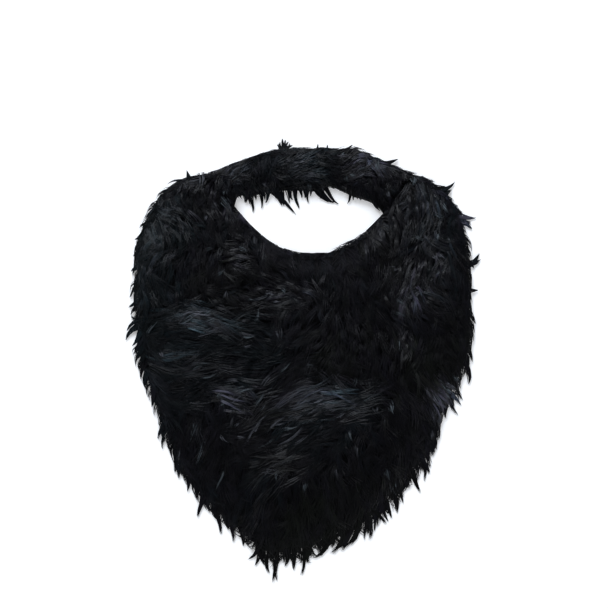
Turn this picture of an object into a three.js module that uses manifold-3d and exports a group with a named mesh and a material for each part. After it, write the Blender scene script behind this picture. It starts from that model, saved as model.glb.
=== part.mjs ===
// A black fur-fabric costume beard with its mustache, lying on its cloth back with the fur up.
// Millimetres. +X runs to the right as seen from the fur side, +Y from the chin to the mustache,
// +Z out of the fur. The cut cloth is laid out first, with y = 0 at the tops of the cheeks, and the
// finished group is then moved so that its origin is the middle of its footprint.

import * as THREE from 'three';
import { mergeVertices } from 'three/addons/utils/BufferGeometryUtils.js';
import Module from 'manifold-3d';

const wasm = await Module();
wasm.setup();

// Driving dimensions of the cloth
const beardWidth = 233;      // cut cloth, cheek to cheek
const beardLength = 265;     // tops of the cheeks to the point of the chin
const mouthOffset = 4;       // the mouth sits this far to the right of the middle
const mouthWidth = 104;      // corner to corner
const cornerDepth = 25;      // tops of the cheeks down to the mouth corners
const cornerTilt = 5;        // the right corner is this much lower than the left one
const lipDrop = 31;          // corners down to the lowest point of the lip edge
const lipRise = 13;          // corners up to the lower edge of the mustache strip
const stripSpan = 143;       // top of one seam to top of the other
const stripHeight = 31;      // mustache strip at its middle
const clothThickness = 1.5;
const gap = 0.3;             // between neighbouring pieces

// Driving dimensions of the fur
const beardPile = 13;        // matted fur in the middle of the beard, above its underside
const stripPile = 10;        // the same along the middle of the mustache
const edgePile = 4;          // matted fur at a cut edge
const rowPitch = 26;         // rows of locks down the beard
const lockPitch = 29;        // locks across a row
const lockLength = 50;
const lockWidth = 20;
const lockThickness = 7;
const lockLift = 4.5;        // how far a lock arches off the mat
const droop = 12;            // past a cut edge, locks come down to the surface over this distance
const tipHeight = 2.2;       // middle of a tip that has come down
const fringeWidth = 10;
const fringeThickness = 3.6;

// Unevenness of the fur: degrees that a lock strays from the combing and bends along its length,
// and the share by which the sizes of neighbouring locks differ
const stray = 14;
const curl = 30;
const unevenness = 0.3;

// Outer edge of the beard. down is a share of beardLength, left and right of half of beardWidth.
const edgeRows = [
  { down: 0.01, left: 0.71, right: 0.73 },
  { down: 0.04, left: 0.82, right: 0.83 },
  { down: 0.09, left: 0.905, right: 0.92 },
  { down: 0.16, left: 0.975, right: 0.965 },
  { down: 0.27, left: 0.995, right: 0.99 },
  { down: 0.4, left: 0.985, right: 1.0 },
  { down: 0.49, left: 0.97, right: 0.975 },
  { down: 0.6, left: 0.885, right: 0.865 },
  { down: 0.72, left: 0.785, right: 0.74 },
  { down: 0.84, left: 0.61, right: 0.52 },
  { down: 0.93, left: 0.4, right: 0.24 },
];
const chinShift = -0.16;     // the point of the chin, a share of half of beardWidth

// How the beard is combed: headings of the locks in degrees, 0 to the right and -90 to the chin, at
// the left edge, the middle and the right edge, and their length as a share of lockLength.
const combing = [
  { down: 0.08, left: -115, middle: -90, right: -60, length: 0.55 },
  { down: 0.2, left: -120, middle: -95, right: -65, length: 0.6 },
  { down: 0.32, left: -70, middle: -95, right: -70, length: 0.75 },
  { down: 0.4, left: -15, middle: -25, right: -60, length: 1.0 },
  { down: 0.5, left: 10, middle: -30, right: -60, length: 1.0 },
  { down: 0.6, left: -70, middle: -15, right: -50, length: 1.0 },
  { down: 0.7, left: -80, middle: -110, right: -85, length: 0.9 },
  { down: 0.8, left: -80, middle: -95, right: -105, length: 0.8 },
  { down: 0.92, left: -75, middle: -90, right: -110, length: 0.7 },
];

// Locks that reach past the cut edge of the beard. from and to are shares of the way along the outer
// edge, from the left seam round the chin to the right seam, and reach is in shares of lockLength.
const beardFringe = [
  { from: 0.02, to: 0.08, count: 2, heading: 120, reach: 0.06 },
  { from: 0.11, to: 0.15, count: 3, heading: -140, reach: 0.1 },
  { from: 0.165, to: 0.22, count: 4, heading: -140, reach: 0.18 },
  { from: 0.25, to: 0.3, count: 3, heading: -105, reach: 0.16 },
  { from: 0.32, to: 0.4, count: 4, heading: -105, reach: 0.24 },
  { from: 0.42, to: 0.46, count: 3, heading: -100, reach: 0.3 },
  { from: 0.475, to: 0.49, count: 2, heading: -88, reach: 0.32 },
  { from: 0.51, to: 0.58, count: 4, heading: -85, reach: 0.34 },
  { from: 0.6, to: 0.69, count: 5, heading: -75, reach: 0.36 },
  { from: 0.735, to: 0.75, count: 2, heading: -60, reach: 0.3 },
  { from: 0.77, to: 0.82, count: 3, heading: -60, reach: 0.14 },
  { from: 0.85, to: 0.89, count: 3, heading: 15, reach: 0.12 },
  { from: 0.92, to: 0.93, count: 2, heading: 10, reach: 0.18 },
  { from: 0.955, to: 0.98, count: 2, heading: 50, reach: 0.12 },
];

// Locks of the mustache strip, in rows along it. across is a share of the strip's height from its
// lower edge, from and to are shares of its half span, and headings turn from one end to the other.
const stripLocks = [
  { across: 0.75, from: -0.8, to: 0.75, count: 7, start: -60, end: -110, length: 0.55 },
  { across: 0.4, from: -0.7, to: 0.7, count: 6, start: -70, end: -100, length: 0.5 },
];

// Fringe that hangs into the mouth opening. place is a share of half of mouthWidth.
const mouthFringe = [
  { place: -0.72, heading: -80, reach: 0.2 },
  { place: -0.5, heading: -60, reach: 0.2 },
  { place: -0.22, heading: -85, reach: 0.34 },
  { place: 0.0, heading: -90, reach: 0.28 },
  { place: 0.3, heading: -65, reach: 0.36 },
  { place: 0.56, heading: -80, reach: 0.22 },
];

// Tufts that stand over the top edge of the strip. place is a share of half of stripSpan.
const topTufts = [
  { place: -0.55, heading: 110, reach: 0.06 },
  { place: -0.24, heading: 100, reach: 0.12 },
  { place: 0.1, heading: 75, reach: 0.06 },
  { place: 0.6, heading: 60, reach: 0.1 },
];

const lipRound = 2.2;        // exponent of the lip edge
const archRound = 3;         // exponent of the strip's lower edge
const crownRound = 2.1;      // exponent of the strip's upper edge
const edgeSteps = 76;        // straight steps along the outer edge
const lipSteps = 18;
const stripSteps = 22;
const rootLimit = 0.93;      // locks of the rows are rooted inside this share of the way to the edge

const furBase = clothThickness + gap;
const halfMouth = mouthWidth / 2;
const halfSpan = stripSpan / 2;
const stripRise = stripHeight + lipRise - cornerDepth;
const seamRun = halfSpan - halfMouth;
const seamShift = gap * Math.hypot(seamRun, cornerDepth) / cornerDepth;
const heart = new THREE.Vector2(0, -0.49 * beardLength);   // each ray from here leaves the beard once
const cutHeight = 2 * (furBase + beardPile + lockThickness + lockLift);   // clears all of the fur

/** Height of the line through both mouth corners, at a share t of half of mouthWidth. */
const cornerLine = (t) => -cornerDepth - cornerTilt * t / 2;

/** A row of points from one share to another, each made by a function of the share. */
function along(from, to, steps, point) {
  return Array.from({ length: steps + 1 }, (_, i) => point(from + (to - from) * i / steps));
}

/** The lip edge of the beard, at a share t of half of mouthWidth, with its corners moved out. */
function lipPoint(t, shift) {
  const x = mouthOffset + t * (halfMouth + shift);
  return new THREE.Vector2(x, cornerLine(t) - lipDrop * (1 - Math.abs(t) ** lipRound));
}

/** Lower edge of the mustache strip. */
function archPoint(t) {
  const y = cornerLine(t) + lipRise * (1 - Math.abs(t) ** archRound);
  return new THREE.Vector2(mouthOffset + t * halfMouth, y);
}

/** Upper edge of the mustache strip. */
function crownPoint(t) {
  return new THREE.Vector2(mouthOffset + t * halfSpan, stripRise * (1 - Math.abs(t) ** crownRound));
}

/** The smooth outer edge of the beard, from the top of the left seam round the chin to the right. */
function outerEdge() {
  const half = beardWidth / 2;
  const place = (side, down) => new THREE.Vector3(side * half, -down * beardLength, 0);
  const corner = halfSpan + seamShift;
  return new THREE.CatmullRomCurve3([
    new THREE.Vector3(mouthOffset - corner, 0, 0),
    ...edgeRows.map((row) => place(-row.left, row.down)),
    place(chinShift, 1),
    ...edgeRows.toReversed().map((row) => place(row.right, row.down)),
    new THREE.Vector3(mouthOffset + corner, 0, 0),
  ], false, 'centripetal');
}

const edgeCurve = outerEdge();
const beardOutline = [
  ...edgeCurve.getSpacedPoints(edgeSteps).map((p) => new THREE.Vector2(p.x, p.y)),
  ...along(1, -1, lipSteps, (t) => lipPoint(t, seamShift)),
];
const stripOutline = [
  ...along(-1, 1, stripSteps, archPoint),
  ...along(1, -1, stripSteps, crownPoint),
];

/** How far out of the beard's heart a place is: 0 at the heart, 1 at the cut edge. */
function outness(x, y) {
  const ray = new THREE.Vector2(x, y).sub(heart);
  if (ray.length() < gap) return 0;
  for (let i = 0; i < beardOutline.length; i += 1) {
    const a = beardOutline[i].clone().sub(heart);
    const b = beardOutline[(i + 1) % beardOutline.length].clone().sub(heart);
    const side = b.clone().sub(a);
    const crossing = ray.cross(side);
    const reach = a.cross(side) / crossing;
    const share = a.cross(ray) / crossing;
    if (reach > 0 && share >= 0 && share <= 1) return 1 / reach;
  }
  return 1;
}

/** Height of the matted beard at outness s, above its underside. */
const beardMat = (s) => edgePile + (beardPile - edgePile) * (1 - s ** 3);

/** Height of the matted strip at a share v of the way from its lower to its upper edge. */
const stripMat = (v) => edgePile + (stripPile - edgePile) * (1 - Math.abs(2 * v - 1) ** 3);

/** Past a cut edge, the middle of a lock comes down from the top of the mat to the surface. */
function drooping(past) {
  const share = Math.max(0, 1 - past / droop);
  return tipHeight + (furBase + edgePile / 2 - tipHeight) * share ** 2;
}

/** Height of a lock that lies on the beard at a place. */
function beardSurface(x, y) {
  const s = outness(x, y);
  if (s <= 1) return furBase + beardMat(s) - edgePile / 2;
  return drooping((1 - 1 / s) * heart.distanceTo(new THREE.Vector2(x, y)));
}

/** Height of a lock that lies on the mustache at a place. */
function stripSurface(x, y) {
  const low = archPoint(THREE.MathUtils.clamp((x - mouthOffset) / halfMouth, -1, 1)).y;
  const high = crownPoint(THREE.MathUtils.clamp((x - mouthOffset) / halfSpan, -1, 1)).y;
  const past = Math.max(low - y, y - high);
  if (past > 0) return drooping(past);
  return furBase + stripMat((y - low) / (high - low)) - edgePile / 2;
}

/** A closed body from points and the triangles between them. */
function body(points, triangles) {
  const geometry = new THREE.BufferGeometry();
  geometry.setAttribute('position', new THREE.Float32BufferAttribute(points.flat(), 3));
  geometry.setIndex(triangles.flat());
  return geometry;
}

/** A solid for joining and cutting, from a closed geometry. */
function solid(geometry) {
  const bare = geometry.clone();
  bare.deleteAttribute('normal');
  bare.deleteAttribute('uv');
  const merged = mergeVertices(bare, 1e-4);
  return new wasm.Manifold(new wasm.Mesh({
    numProp: 3,
    vertProperties: new Float32Array(merged.attributes.position.array),
    triVerts: new Uint32Array(merged.index.array),
  }));
}

/** A geometry from a solid, with its own largest body kept. */
function geometryOf(joined) {
  const parts = joined.decompose().sort((a, b) => b.volume() - a.volume());
  const mesh = parts[0].getMesh();
  const geometry = new THREE.BufferGeometry();
  geometry.setAttribute('position', new THREE.BufferAttribute(mesh.vertProperties, 3));
  geometry.setIndex(new THREE.BufferAttribute(mesh.triVerts, 1));
  return geometry;
}

/** Flat cloth or a cutting block: an outline between two heights. */
function prism(outline, low, high) {
  const shape = new THREE.Shape(outline);
  const geometry = new THREE.ExtrudeGeometry(shape, { depth: high - low, bevelEnabled: false });
  return geometry.translate(0, 0, low);
}

/** An outline moved out by a distance, corner by corner. */
function grown(outline, distance) {
  const turn = THREE.ShapeUtils.isClockWise(outline) ? -1 : 1;
  return outline.map((point, i) => {
    const before = outline[(i + outline.length - 1) % outline.length];
    const after = outline[(i + 1) % outline.length];
    const way = after.clone().sub(before).normalize();
    return new THREE.Vector2(point.x + turn * way.y * distance, point.y - turn * way.x * distance);
  });
}

/** The domed mat of the beard: rings of the cut outline, drawn in towards the heart. */
function beardMatGeometry() {
  const rings = [1, 0.93, 0.82, 0.66, 0.45, 0.2];
  const count = beardOutline.length;
  const points = beardOutline.map((p) => [p.x, p.y, furBase]);
  const triangles = [];
  for (const s of rings) {
    for (const p of beardOutline) {
      const q = p.clone().lerp(heart, 1 - s);
      points.push([q.x, q.y, furBase + beardMat(s)]);
    }
  }
  const top = points.push([heart.x, heart.y, furBase + beardMat(0)]) - 1;
  const bottom = points.push([heart.x, heart.y, furBase]) - 1;
  for (let i = 0; i < count; i += 1) {
    const next = (i + 1) % count;
    for (let ring = 0; ring < rings.length; ring += 1) {
      const low = ring * count;
      const high = low + count;
      triangles.push([low + i, low + next, high + i], [low + next, high + next, high + i]);
    }
    const last = rings.length * count;
    triangles.push([last + i, last + next, top], [next, i, bottom]);
  }
  return body(points, triangles);
}

/** The arched mat of the mustache, between the strip's lower and upper edges. */
function stripMatGeometry() {
  const levels = [0, 0.15, 0.35, 0.65, 0.85, 1];
  const rows = along(-1, 1, stripSteps, (t) => [archPoint(t), crownPoint(t)]);
  const width = levels.length + 2;
  const points = rows.flatMap(([low, high]) => [
    [low.x, low.y, furBase],
    ...levels.map((v) => {
      const p = low.clone().lerp(high, v);
      return [p.x, p.y, furBase + stripMat(v)];
    }),
    [high.x, high.y, furBase],
  ]);
  const triangles = [];
  for (let i = 0; i < stripSteps; i += 1) {
    for (let j = 0; j < width; j += 1) {
      const a = i * width + j;
      const b = i * width + (j + 1) % width;
      triangles.push([a, a + width, b], [a + width, b + width, b]);
    }
  }
  const end = stripSteps * width;
  for (let j = 1; j < width - 1; j += 1) {
    triangles.push([0, j, j + 1], [end, end + j + 1, end + j]);
  }
  return body(points, triangles);
}

/** One lock: a flattened six-sided strand that swells from its root and tapers to its tip. */
function lock({ x, y, heading, length, width, thickness, lift, bend, surface }) {
  const stations = [
    { t: 0, size: 0.6 },
    { t: 0.3, size: 1 },
    { t: 0.68, size: 0.72 },
  ];
  const sides = 6;
  const turn = (t) => THREE.MathUtils.degToRad(heading + bend * (t - 0.5));
  const place = (t) => {
    const px = x + length * t * Math.cos(turn(t / 2));
    const py = y + length * t * Math.sin(turn(t / 2));
    return [px, py, surface(px, py) + lift * Math.sin(Math.PI * t)];
  };
  const points = [];
  for (const { t, size } of stations) {
    const [px, py, pz] = place(t);
    for (let k = 0; k < sides; k += 1) {
      const angle = 2 * Math.PI * k / sides;
      const out = size * width / 2 * Math.cos(angle);
      const up = size * thickness / 2 * Math.sin(angle);
      points.push([px - out * Math.sin(turn(t)), py + out * Math.cos(turn(t)), pz + up]);
    }
  }
  const tip = points.push(place(1)) - 1;
  const last = (stations.length - 1) * sides;
  const triangles = [];
  for (let k = 0; k < sides; k += 1) {
    const next = (k + 1) % sides;
    for (let ring = 0; ring < last; ring += sides) {
      const high = ring + sides;
      triangles.push([ring + k, ring + next, high + k], [ring + next, high + next, high + k]);
    }
    triangles.push([last + k, last + next, tip]);
  }
  for (let k = 1; k < sides - 1; k += 1) triangles.push([0, k + 1, k]);
  return body(points, triangles);
}

/** Heading at a place across the beard, from the row of the combing table. */
function combed(row, across) {
  const outer = across < 0 ? row.left : row.right;
  return THREE.MathUtils.lerp(row.middle, outer, Math.abs(across));
}

/** The row of the combing table at a depth, between the two nearest rows. */
function combingAt(down) {
  const last = combing.length - 2;
  const i = Math.min(last, Math.max(0, combing.findIndex((row) => row.down > down) - 1));
  const share = (down - combing[i].down) / (combing[i + 1].down - combing[i].down);
  const t = THREE.MathUtils.clamp(share, 0, 1);
  const mixed = {};
  for (const name of ['left', 'middle', 'right', 'length']) {
    mixed[name] = THREE.MathUtils.lerp(combing[i][name], combing[i + 1][name], t);
  }
  return mixed;
}

/** Locks in rows down the beard, each row half a pitch off the one above. */
function beardLocks() {
  const locks = [];
  const rows = Math.round(beardLength / rowPitch);
  for (let r = 0; r < rows; r += 1) {
    const down = (r + 0.55) / rows;
    const y = -down * beardLength;
    const row = combingAt(down);
    const places = Math.round(beardWidth / lockPitch);
    for (let i = 0; i <= places; i += 1) {
      const across = (2 * i + r % 2 - places) / places;
      const x = across * beardWidth / 2;
      const sway = Math.sin(5 * i + 3 * r);
      if (outness(x, y) > rootLimit) continue;
      locks.push(lock({
        x,
        y: y + sway * rowPitch / 6,
        heading: combed(row, across) + stray * sway,
        length: row.length * lockLength,
        width: lockWidth * (1 + unevenness * sway / 2),
        thickness: lockThickness,
        lift: lockLift * (1 + unevenness * Math.cos(4 * i + r)),
        bend: curl * Math.cos(3 * i + 2 * r),
        surface: beardSurface,
      }));
    }
  }
  return locks;
}

/** A lock that starts inside a cut edge and reaches past it. */
function fringeLock({ x, y, heading, reach, bend, surface }) {
  const inside = fringeWidth;
  const angle = THREE.MathUtils.degToRad(heading);
  return lock({
    x: x - inside * Math.cos(angle),
    y: y - inside * Math.sin(angle),
    heading,
    length: inside + reach * lockLength,
    width: fringeWidth,
    thickness: fringeThickness,
    lift: 0,
    bend,
    surface,
  });
}

/** The fringe round the outer edge of the beard. */
function beardFringeLocks() {
  return beardFringe.flatMap(({ from, to, count, heading, reach }) => (
    along(from, to, count - 1, (share) => {
      const edge = edgeCurve.getPointAt(share);
      const sway = Math.sin(90 * share);
      return fringeLock({
        x: edge.x,
        y: edge.y,
        heading: heading + stray * sway,
        reach: reach * (1 + unevenness * Math.cos(140 * share)),
        bend: curl * sway,
        surface: beardSurface,
      });
    })
  ));
}

/** All locks of the mustache: its rows, the fringe over the mouth and the tufts on top. */
function mustacheLocks() {
  const rows = stripLocks.flatMap(({ across, from, to, count, start, end, length }) => (
    along(from, to, count - 1, (t) => {
      const root = archPoint(t).lerp(crownPoint(t), across);
      return lock({
        x: root.x,
        y: root.y,
        heading: THREE.MathUtils.mapLinear(t, from, to, start, end),
        length: length * lockLength,
        width: lockWidth,
        thickness: fringeThickness,
        lift: lockLift / 2,
        bend: curl * Math.sin(7 * t),
        surface: stripSurface,
      });
    })
  ));
  const hanging = mouthFringe.map(({ place, heading, reach }) => (
    fringeLock({ ...archPoint(place), heading, reach, bend: curl / 2, surface: stripSurface })
  ));
  const standing = topTufts.map(({ place, heading, reach }) => (
    fringeLock({ ...crownPoint(place), heading, reach, bend: -curl / 2, surface: stripSurface })
  ));
  return [...rows, ...hanging, ...standing];
}

/** The wedge over the mouth that belongs to the mustache, seen from above. */
function mustacheGround(shift, lipClearance) {
  const high = stripRise + lockLength;
  const lean = seamRun / cornerDepth;
  const top = halfSpan + shift + lean * high;
  return [
    new THREE.Vector2(mouthOffset - top, high),
    ...along(-1, 1, lipSteps, (t) => lipPoint(t, shift).add(new THREE.Vector2(0, lipClearance))),
    new THREE.Vector2(mouthOffset + top, high),
  ];
}

/** A mat with its locks, kept off both cloths by the gap and cut level with the surface below. */
function fur(mat, locks) {
  const cloths = [beardOutline, stripOutline]
    .map((outline) => solid(prism(grown(outline, gap), -cutHeight, furBase)))
    .reduce((a, b) => a.add(b));
  const whole = locks.map(solid).reduce((a, b) => a.add(b), solid(mat));
  return whole.subtract(cloths).trimByPlane([0, 0, 1], 0);
}

/** The finished beard fur, clear of the mustache's ground. */
function beardFur() {
  const whole = fur(beardMatGeometry(), [...beardLocks(), ...beardFringeLocks()]);
  const ground = solid(prism(mustacheGround(seamShift, 0), -cutHeight, cutHeight));
  return geometryOf(whole.subtract(ground));
}

/** The finished mustache fur, inside its own ground and clear of the lip. */
function mustacheFur() {
  const whole = fur(stripMatGeometry(), mustacheLocks());
  const ground = solid(prism(mustacheGround(0, 2 * gap), -cutHeight, cutHeight));
  return geometryOf(whole.intersect(ground));
}

/** Black knitted ground cloth. */
const knit = () => new THREE.MeshStandardMaterial({ color: 0x111214, roughness: 0.95, metalness: 0 });

/** Black modacrylic fur. */
const pile = () => new THREE.MeshStandardMaterial({ color: 0x0d0f11, roughness: 0.5, metalness: 0 });

/** A named piece of the beard. */
function piece(name, geometry, material) {
  const mesh = new THREE.Mesh(geometry, material);
  mesh.name = name;
  return mesh;
}

const beard = new THREE.Group();
beard.add(
  piece('beard_backing', prism(beardOutline, 0, clothThickness), knit()),
  piece('beard_fur', beardFur(), pile()),
  piece('mustache_backing', prism(stripOutline, 0, clothThickness), knit()),
  piece('mustache_fur', mustacheFur(), pile()),
);
const middle = new THREE.Box3().setFromObject(beard).getCenter(new THREE.Vector3());
beard.position.set(-middle.x, -middle.y, 0);

export default beard;
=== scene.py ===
import bpy
import numpy as np
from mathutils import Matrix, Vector


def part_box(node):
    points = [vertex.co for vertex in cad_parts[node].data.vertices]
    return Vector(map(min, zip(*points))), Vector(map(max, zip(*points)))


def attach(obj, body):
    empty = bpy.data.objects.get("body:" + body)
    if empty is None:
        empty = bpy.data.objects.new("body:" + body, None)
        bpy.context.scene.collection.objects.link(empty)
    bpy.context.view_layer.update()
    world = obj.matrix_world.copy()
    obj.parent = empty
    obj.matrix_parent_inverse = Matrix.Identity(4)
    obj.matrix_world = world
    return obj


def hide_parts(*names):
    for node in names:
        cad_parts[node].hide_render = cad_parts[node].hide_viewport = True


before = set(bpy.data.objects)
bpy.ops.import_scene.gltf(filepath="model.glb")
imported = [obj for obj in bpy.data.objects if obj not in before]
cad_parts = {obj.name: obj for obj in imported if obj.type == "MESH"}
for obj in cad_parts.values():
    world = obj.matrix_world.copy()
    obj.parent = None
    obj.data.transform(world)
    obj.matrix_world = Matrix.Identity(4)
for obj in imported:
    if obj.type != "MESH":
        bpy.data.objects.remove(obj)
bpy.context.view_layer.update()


# Laying out the cloth
# The beard is cut from one width of long-pile fur fabric, as a shield with a notch for the mouth, and
# the mustache is a second, arched strip of it. Both cuts are laid out here in millimetres, x to the
# right of the beard's middle and y up from the tops of the cheeks, and then placed in the frame.
BEARD_WIDTH = 233
BEARD_LENGTH = 265
MOUTH_OFFSET = 4
HALF_MOUTH = 52
HALF_SPAN = 71.5
CORNER_DEPTH = 25
CORNER_TILT = 5
LIP_DROP = 31
LIP_RISE = 13
STRIP_HEIGHT = 31
STRIP_RISE = STRIP_HEIGHT + LIP_RISE - CORNER_DEPTH
LIP_ROUND, ARCH_ROUND, CROWN_ROUND = 2.2, 3, 2.1
CHIN_SHARE = -0.16
ARCH_WAVES = np.array([
    # the strip's lower cut isn't even: place to the right, millimetres that it lies higher there
    (-48, 0), (-47, 3.5), (-46, 5.2), (-43, 4.8), (-40, 1), (-36, 0), (12, 0), (17, 3.5), (20, 4.5),
    (24, 3), (28, 2), (32, 1), (36, 0.3), (40, 0.8), (45, 1.4), (50, 2), (54, 1.2), (56, 0),
])
CROWN_WAVES = np.array([
    # and the same for its upper cut
    (-67.5, 0), (-60, -2.4), (-50, -2), (-40, -2), (-33, -1.3), (-27, -0.8), (-20, -0.3), (-5, -1.2),
    (10, -1.5), (23, -1), (29, 1), (36, 2), (42, 1.3), (50, 0), (55, -0.4), (62, -1), (75.5, 0),
])
EDGE_ROWS = np.array([
    # down, left, right: shares of the length and of half the width
    (0.01, 0.71, 0.73), (0.04, 0.82, 0.83), (0.09, 0.905, 0.92), (0.16, 0.975, 0.965), (0.27, 0.995, 0.99),
    (0.40, 0.985, 1.00), (0.49, 0.97, 0.975), (0.60, 0.885, 0.865), (0.72, 0.785, 0.74), (0.84, 0.61, 0.52),
    (0.93, 0.40, 0.24),
])
SPAN_STEPS = 40                  # steps of a curve from one knot to the next
OUTER_STEPS, EDGE_POINTS = 300, 80     # of the outer edge, and of each edge at the mouth


def smooth_through(knots, steps):
    """A Catmull-Rom curve through the knots: each span is the cubic whose slopes at its ends are half
    the way between the neighbouring knots. Then the curve is cut into equal steps."""
    k = np.vstack([2 * knots[0] - knots[1], knots, 2 * knots[-1] - knots[-2]])
    t = np.linspace(0, 1, SPAN_STEPS, endpoint=False)[None, :, None]
    a, b, c, d = (k[i:len(k) - 3 + i, None, :] for i in range(4))
    curve = 0.5 * (2 * b + (c - a) * t + (2 * a - 5 * b + 4 * c - d) * t**2 + (3 * b - a - 3 * c + d) * t**3)
    curve = np.vstack([curve.reshape(-1, knots.shape[1]), knots[-1:]])
    way = np.concatenate([[0], np.cumsum(np.linalg.norm(np.diff(curve, axis=0), axis=1))])
    even = np.linspace(0, way[-1], steps + 1)
    return np.stack([np.interp(even, way, curve[:, i]) for i in range(knots.shape[1])], axis=1)


def corner_line(t):
    """Height of the line through the mouth corners, at a share t of half the mouth."""
    return -CORNER_DEPTH - CORNER_TILT * t / 2


def lip(t):
    """Lip edge: the corner line less the drop, times one less the share to the power of its roundness."""
    drop = LIP_DROP * (1 - np.abs(t)**LIP_ROUND)
    return np.stack([MOUTH_OFFSET + t * HALF_MOUTH, corner_line(t) - drop], 1)


def arch(t):
    """Lower edge of the strip, a flat arch between the mouth corners, with its waves."""
    x = MOUTH_OFFSET + t * HALF_MOUTH
    rise = LIP_RISE * (1 - np.abs(t)**ARCH_ROUND)
    return np.stack([x, corner_line(t) + rise + np.interp(x, *ARCH_WAVES.T)], 1)


def crown(t):
    """Upper edge of the strip, a rounder arch between the tops of the seams, with its waves."""
    x = MOUTH_OFFSET + t * HALF_SPAN
    rise = STRIP_RISE * (1 - np.abs(t)**CROWN_ROUND)
    return np.stack([x, rise + np.interp(x, *CROWN_WAVES.T)], 1)


left_side = EDGE_ROWS[:, [1, 0]] * [-BEARD_WIDTH / 2, -BEARD_LENGTH]
right_side = EDGE_ROWS[::-1, [2, 0]] * [BEARD_WIDTH / 2, -BEARD_LENGTH]
outer_edge = smooth_through(np.vstack([
    crown(np.array([-1.0])), left_side,
    [[CHIN_SHARE * BEARD_WIDTH / 2, -BEARD_LENGTH]],
    right_side, crown(np.array([1.0])),
]), OUTER_STEPS)
beard_outline = np.vstack([outer_edge, lip(np.linspace(1, -1, EDGE_POINTS))])
HEART = np.array([0, -0.49 * BEARD_LENGTH])     # each ray from here leaves the beard once

low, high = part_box("beard_backing")
cloth_origin = np.array([
    (low.x + high.x) / 2 * 1000 - (outer_edge[:, 0].min() + outer_edge[:, 0].max()) / 2,
    high.y * 1000 - outer_edge[:, 1].max(),
])
CLOTH = (high.z - low.z) * 1000


def in_frame(points):
    """Cloth millimetres to the frame's metres."""
    return (points + np.append(cloth_origin, 0)) / 1000


# Table, lights and camera
# The beard lies on a white table under a broad soft light at its head and a weaker one at its chin.
# The camera looks straight down on it, as far off as its lens needs to take in the square picture at
# the height of the cut edge.
PHOTO_SIDE = 608                  # pixels
MM_PER_PIXEL = 0.70
MIDDLE_COLUMN, CHEEK_ROW = 303, 174     # pixels: the beard's middle and the tops of its cheeks
LENS, SENSOR = 85, 36


def linear(hex_colour):
    """An sRGB hex colour as linear red, green, blue and alpha."""
    srgb = np.array([int(hex_colour[i:i + 2], 16) for i in (0, 2, 4)]) / 255
    return (*np.where(srgb <= 0.04045, srgb / 12.92, ((srgb + 0.055) / 1.055)**2.4), 1.0)


def add_node(tree, kind, inputs=None, **settings):
    """Adds a node with its settings. inputs maps its sockets to values or to other nodes' outputs."""
    made = tree.nodes.new(kind)
    for name, value in settings.items():
        setattr(made, name, value)
    for key, value in (inputs or {}).items():
        if isinstance(value, bpy.types.NodeSocket):
            tree.links.new(value, made.inputs[key])
        else:
            made.inputs[key].default_value = value
    return made


def new_material(name):
    """An empty material and its node tree."""
    material = bpy.data.materials.new(name)
    material.use_nodes = True
    material.node_tree.nodes.clear()
    return material, material.node_tree


def mesh_piece(name, points, faces, material, smooth=True):
    """A mesh object at the origin, its points in cloth millimetres."""
    mesh = bpy.data.meshes.new(name)
    mesh.from_pydata(in_frame(points), [], faces)
    mesh.polygons.foreach_set("use_smooth", np.full(len(mesh.polygons), smooth))
    mesh.materials.append(material)
    piece = bpy.data.objects.new(name, mesh)
    bpy.context.collection.objects.link(piece)
    return piece


table_white, tree = new_material("White laminate")
paint = add_node(tree, "ShaderNodeBsdfPrincipled", {
    "Base Color": linear("f4f4f4"), "Roughness": 0.8,
    "Emission Color": linear("ffffff"), "Emission Strength": 0.3,
})
add_node(tree, "ShaderNodeOutputMaterial", {"Surface": paint.outputs[0]})
HALF_TABLE, CLEARANCE = 8000, 0.2      # millimetres; it lies just clear of the cloth
corners = np.array([(-1, -1, 0), (1, -1, 0), (1, 1, 0), (-1, 1, 0)]) * HALF_TABLE - [0, 0, CLEARANCE]
table_top = mesh_piece("table_top", corners, [(0, 1, 2, 3)], table_white)

photo_middle = in_frame(np.array([
    (PHOTO_SIDE / 2 - MIDDLE_COLUMN) * MM_PER_PIXEL,
    (CHEEK_ROW - PHOTO_SIDE / 2) * MM_PER_PIXEL,
    CLOTH,
]))
camera_data = bpy.data.cameras.new("camera")
camera_data.lens = LENS
camera_data.sensor_width = SENSOR
camera = bpy.data.objects.new("camera", camera_data)
distance = PHOTO_SIDE * MM_PER_PIXEL / 1000 * LENS / SENSOR
camera.location = Vector(photo_middle) + Vector((0, 0, distance))
bpy.context.collection.objects.link(camera)
bpy.context.scene.camera = camera


def soft_light(name, place, size, watts):
    """A square softbox that faces the beard."""
    data = bpy.data.lights.new(name, "AREA")
    data.size = size
    data.energy = watts
    data.color = linear("f0f6ff")[:3]
    light = bpy.data.objects.new(name, data)
    light.location = place
    light.rotation_euler = (-Vector(place)).to_track_quat("-Z", "Y").to_euler()
    bpy.context.collection.objects.link(light)


soft_light("softbox_head", (-0.35, 1.15, 1.15), 1.0, 30)
soft_light("softbox_chin", (0.5, -1.1, 1.0), 0.8, 8)
world = bpy.data.worlds.new("studio")
world.use_nodes = True
world.node_tree.nodes["Background"].inputs["Color"].default_value = linear("ffffff")
world.node_tree.nodes["Background"].inputs["Strength"].default_value = 0.15
bpy.context.scene.world = world
bpy.context.scene.view_settings.view_transform = "Standard"


# Cut ground cloth
# The pile is knitted into a black polyester ground about 1.5 mm thick, heavy and limp, with a raw cut
# edge. Both cloths lie flat. Their undersides show the knit in fine wales and courses.
WAVE_UNIT = 1000 * 2 * np.pi / 20    # at scale 1 a wave texture turns by 20 radians in a metre
WALE = 1.1                       # millimetres from one column of loops to the next
COURSE = 0.8
EDGE_ROUNDING = 0.35             # the raw edge is squashed a little by the shears


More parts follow.
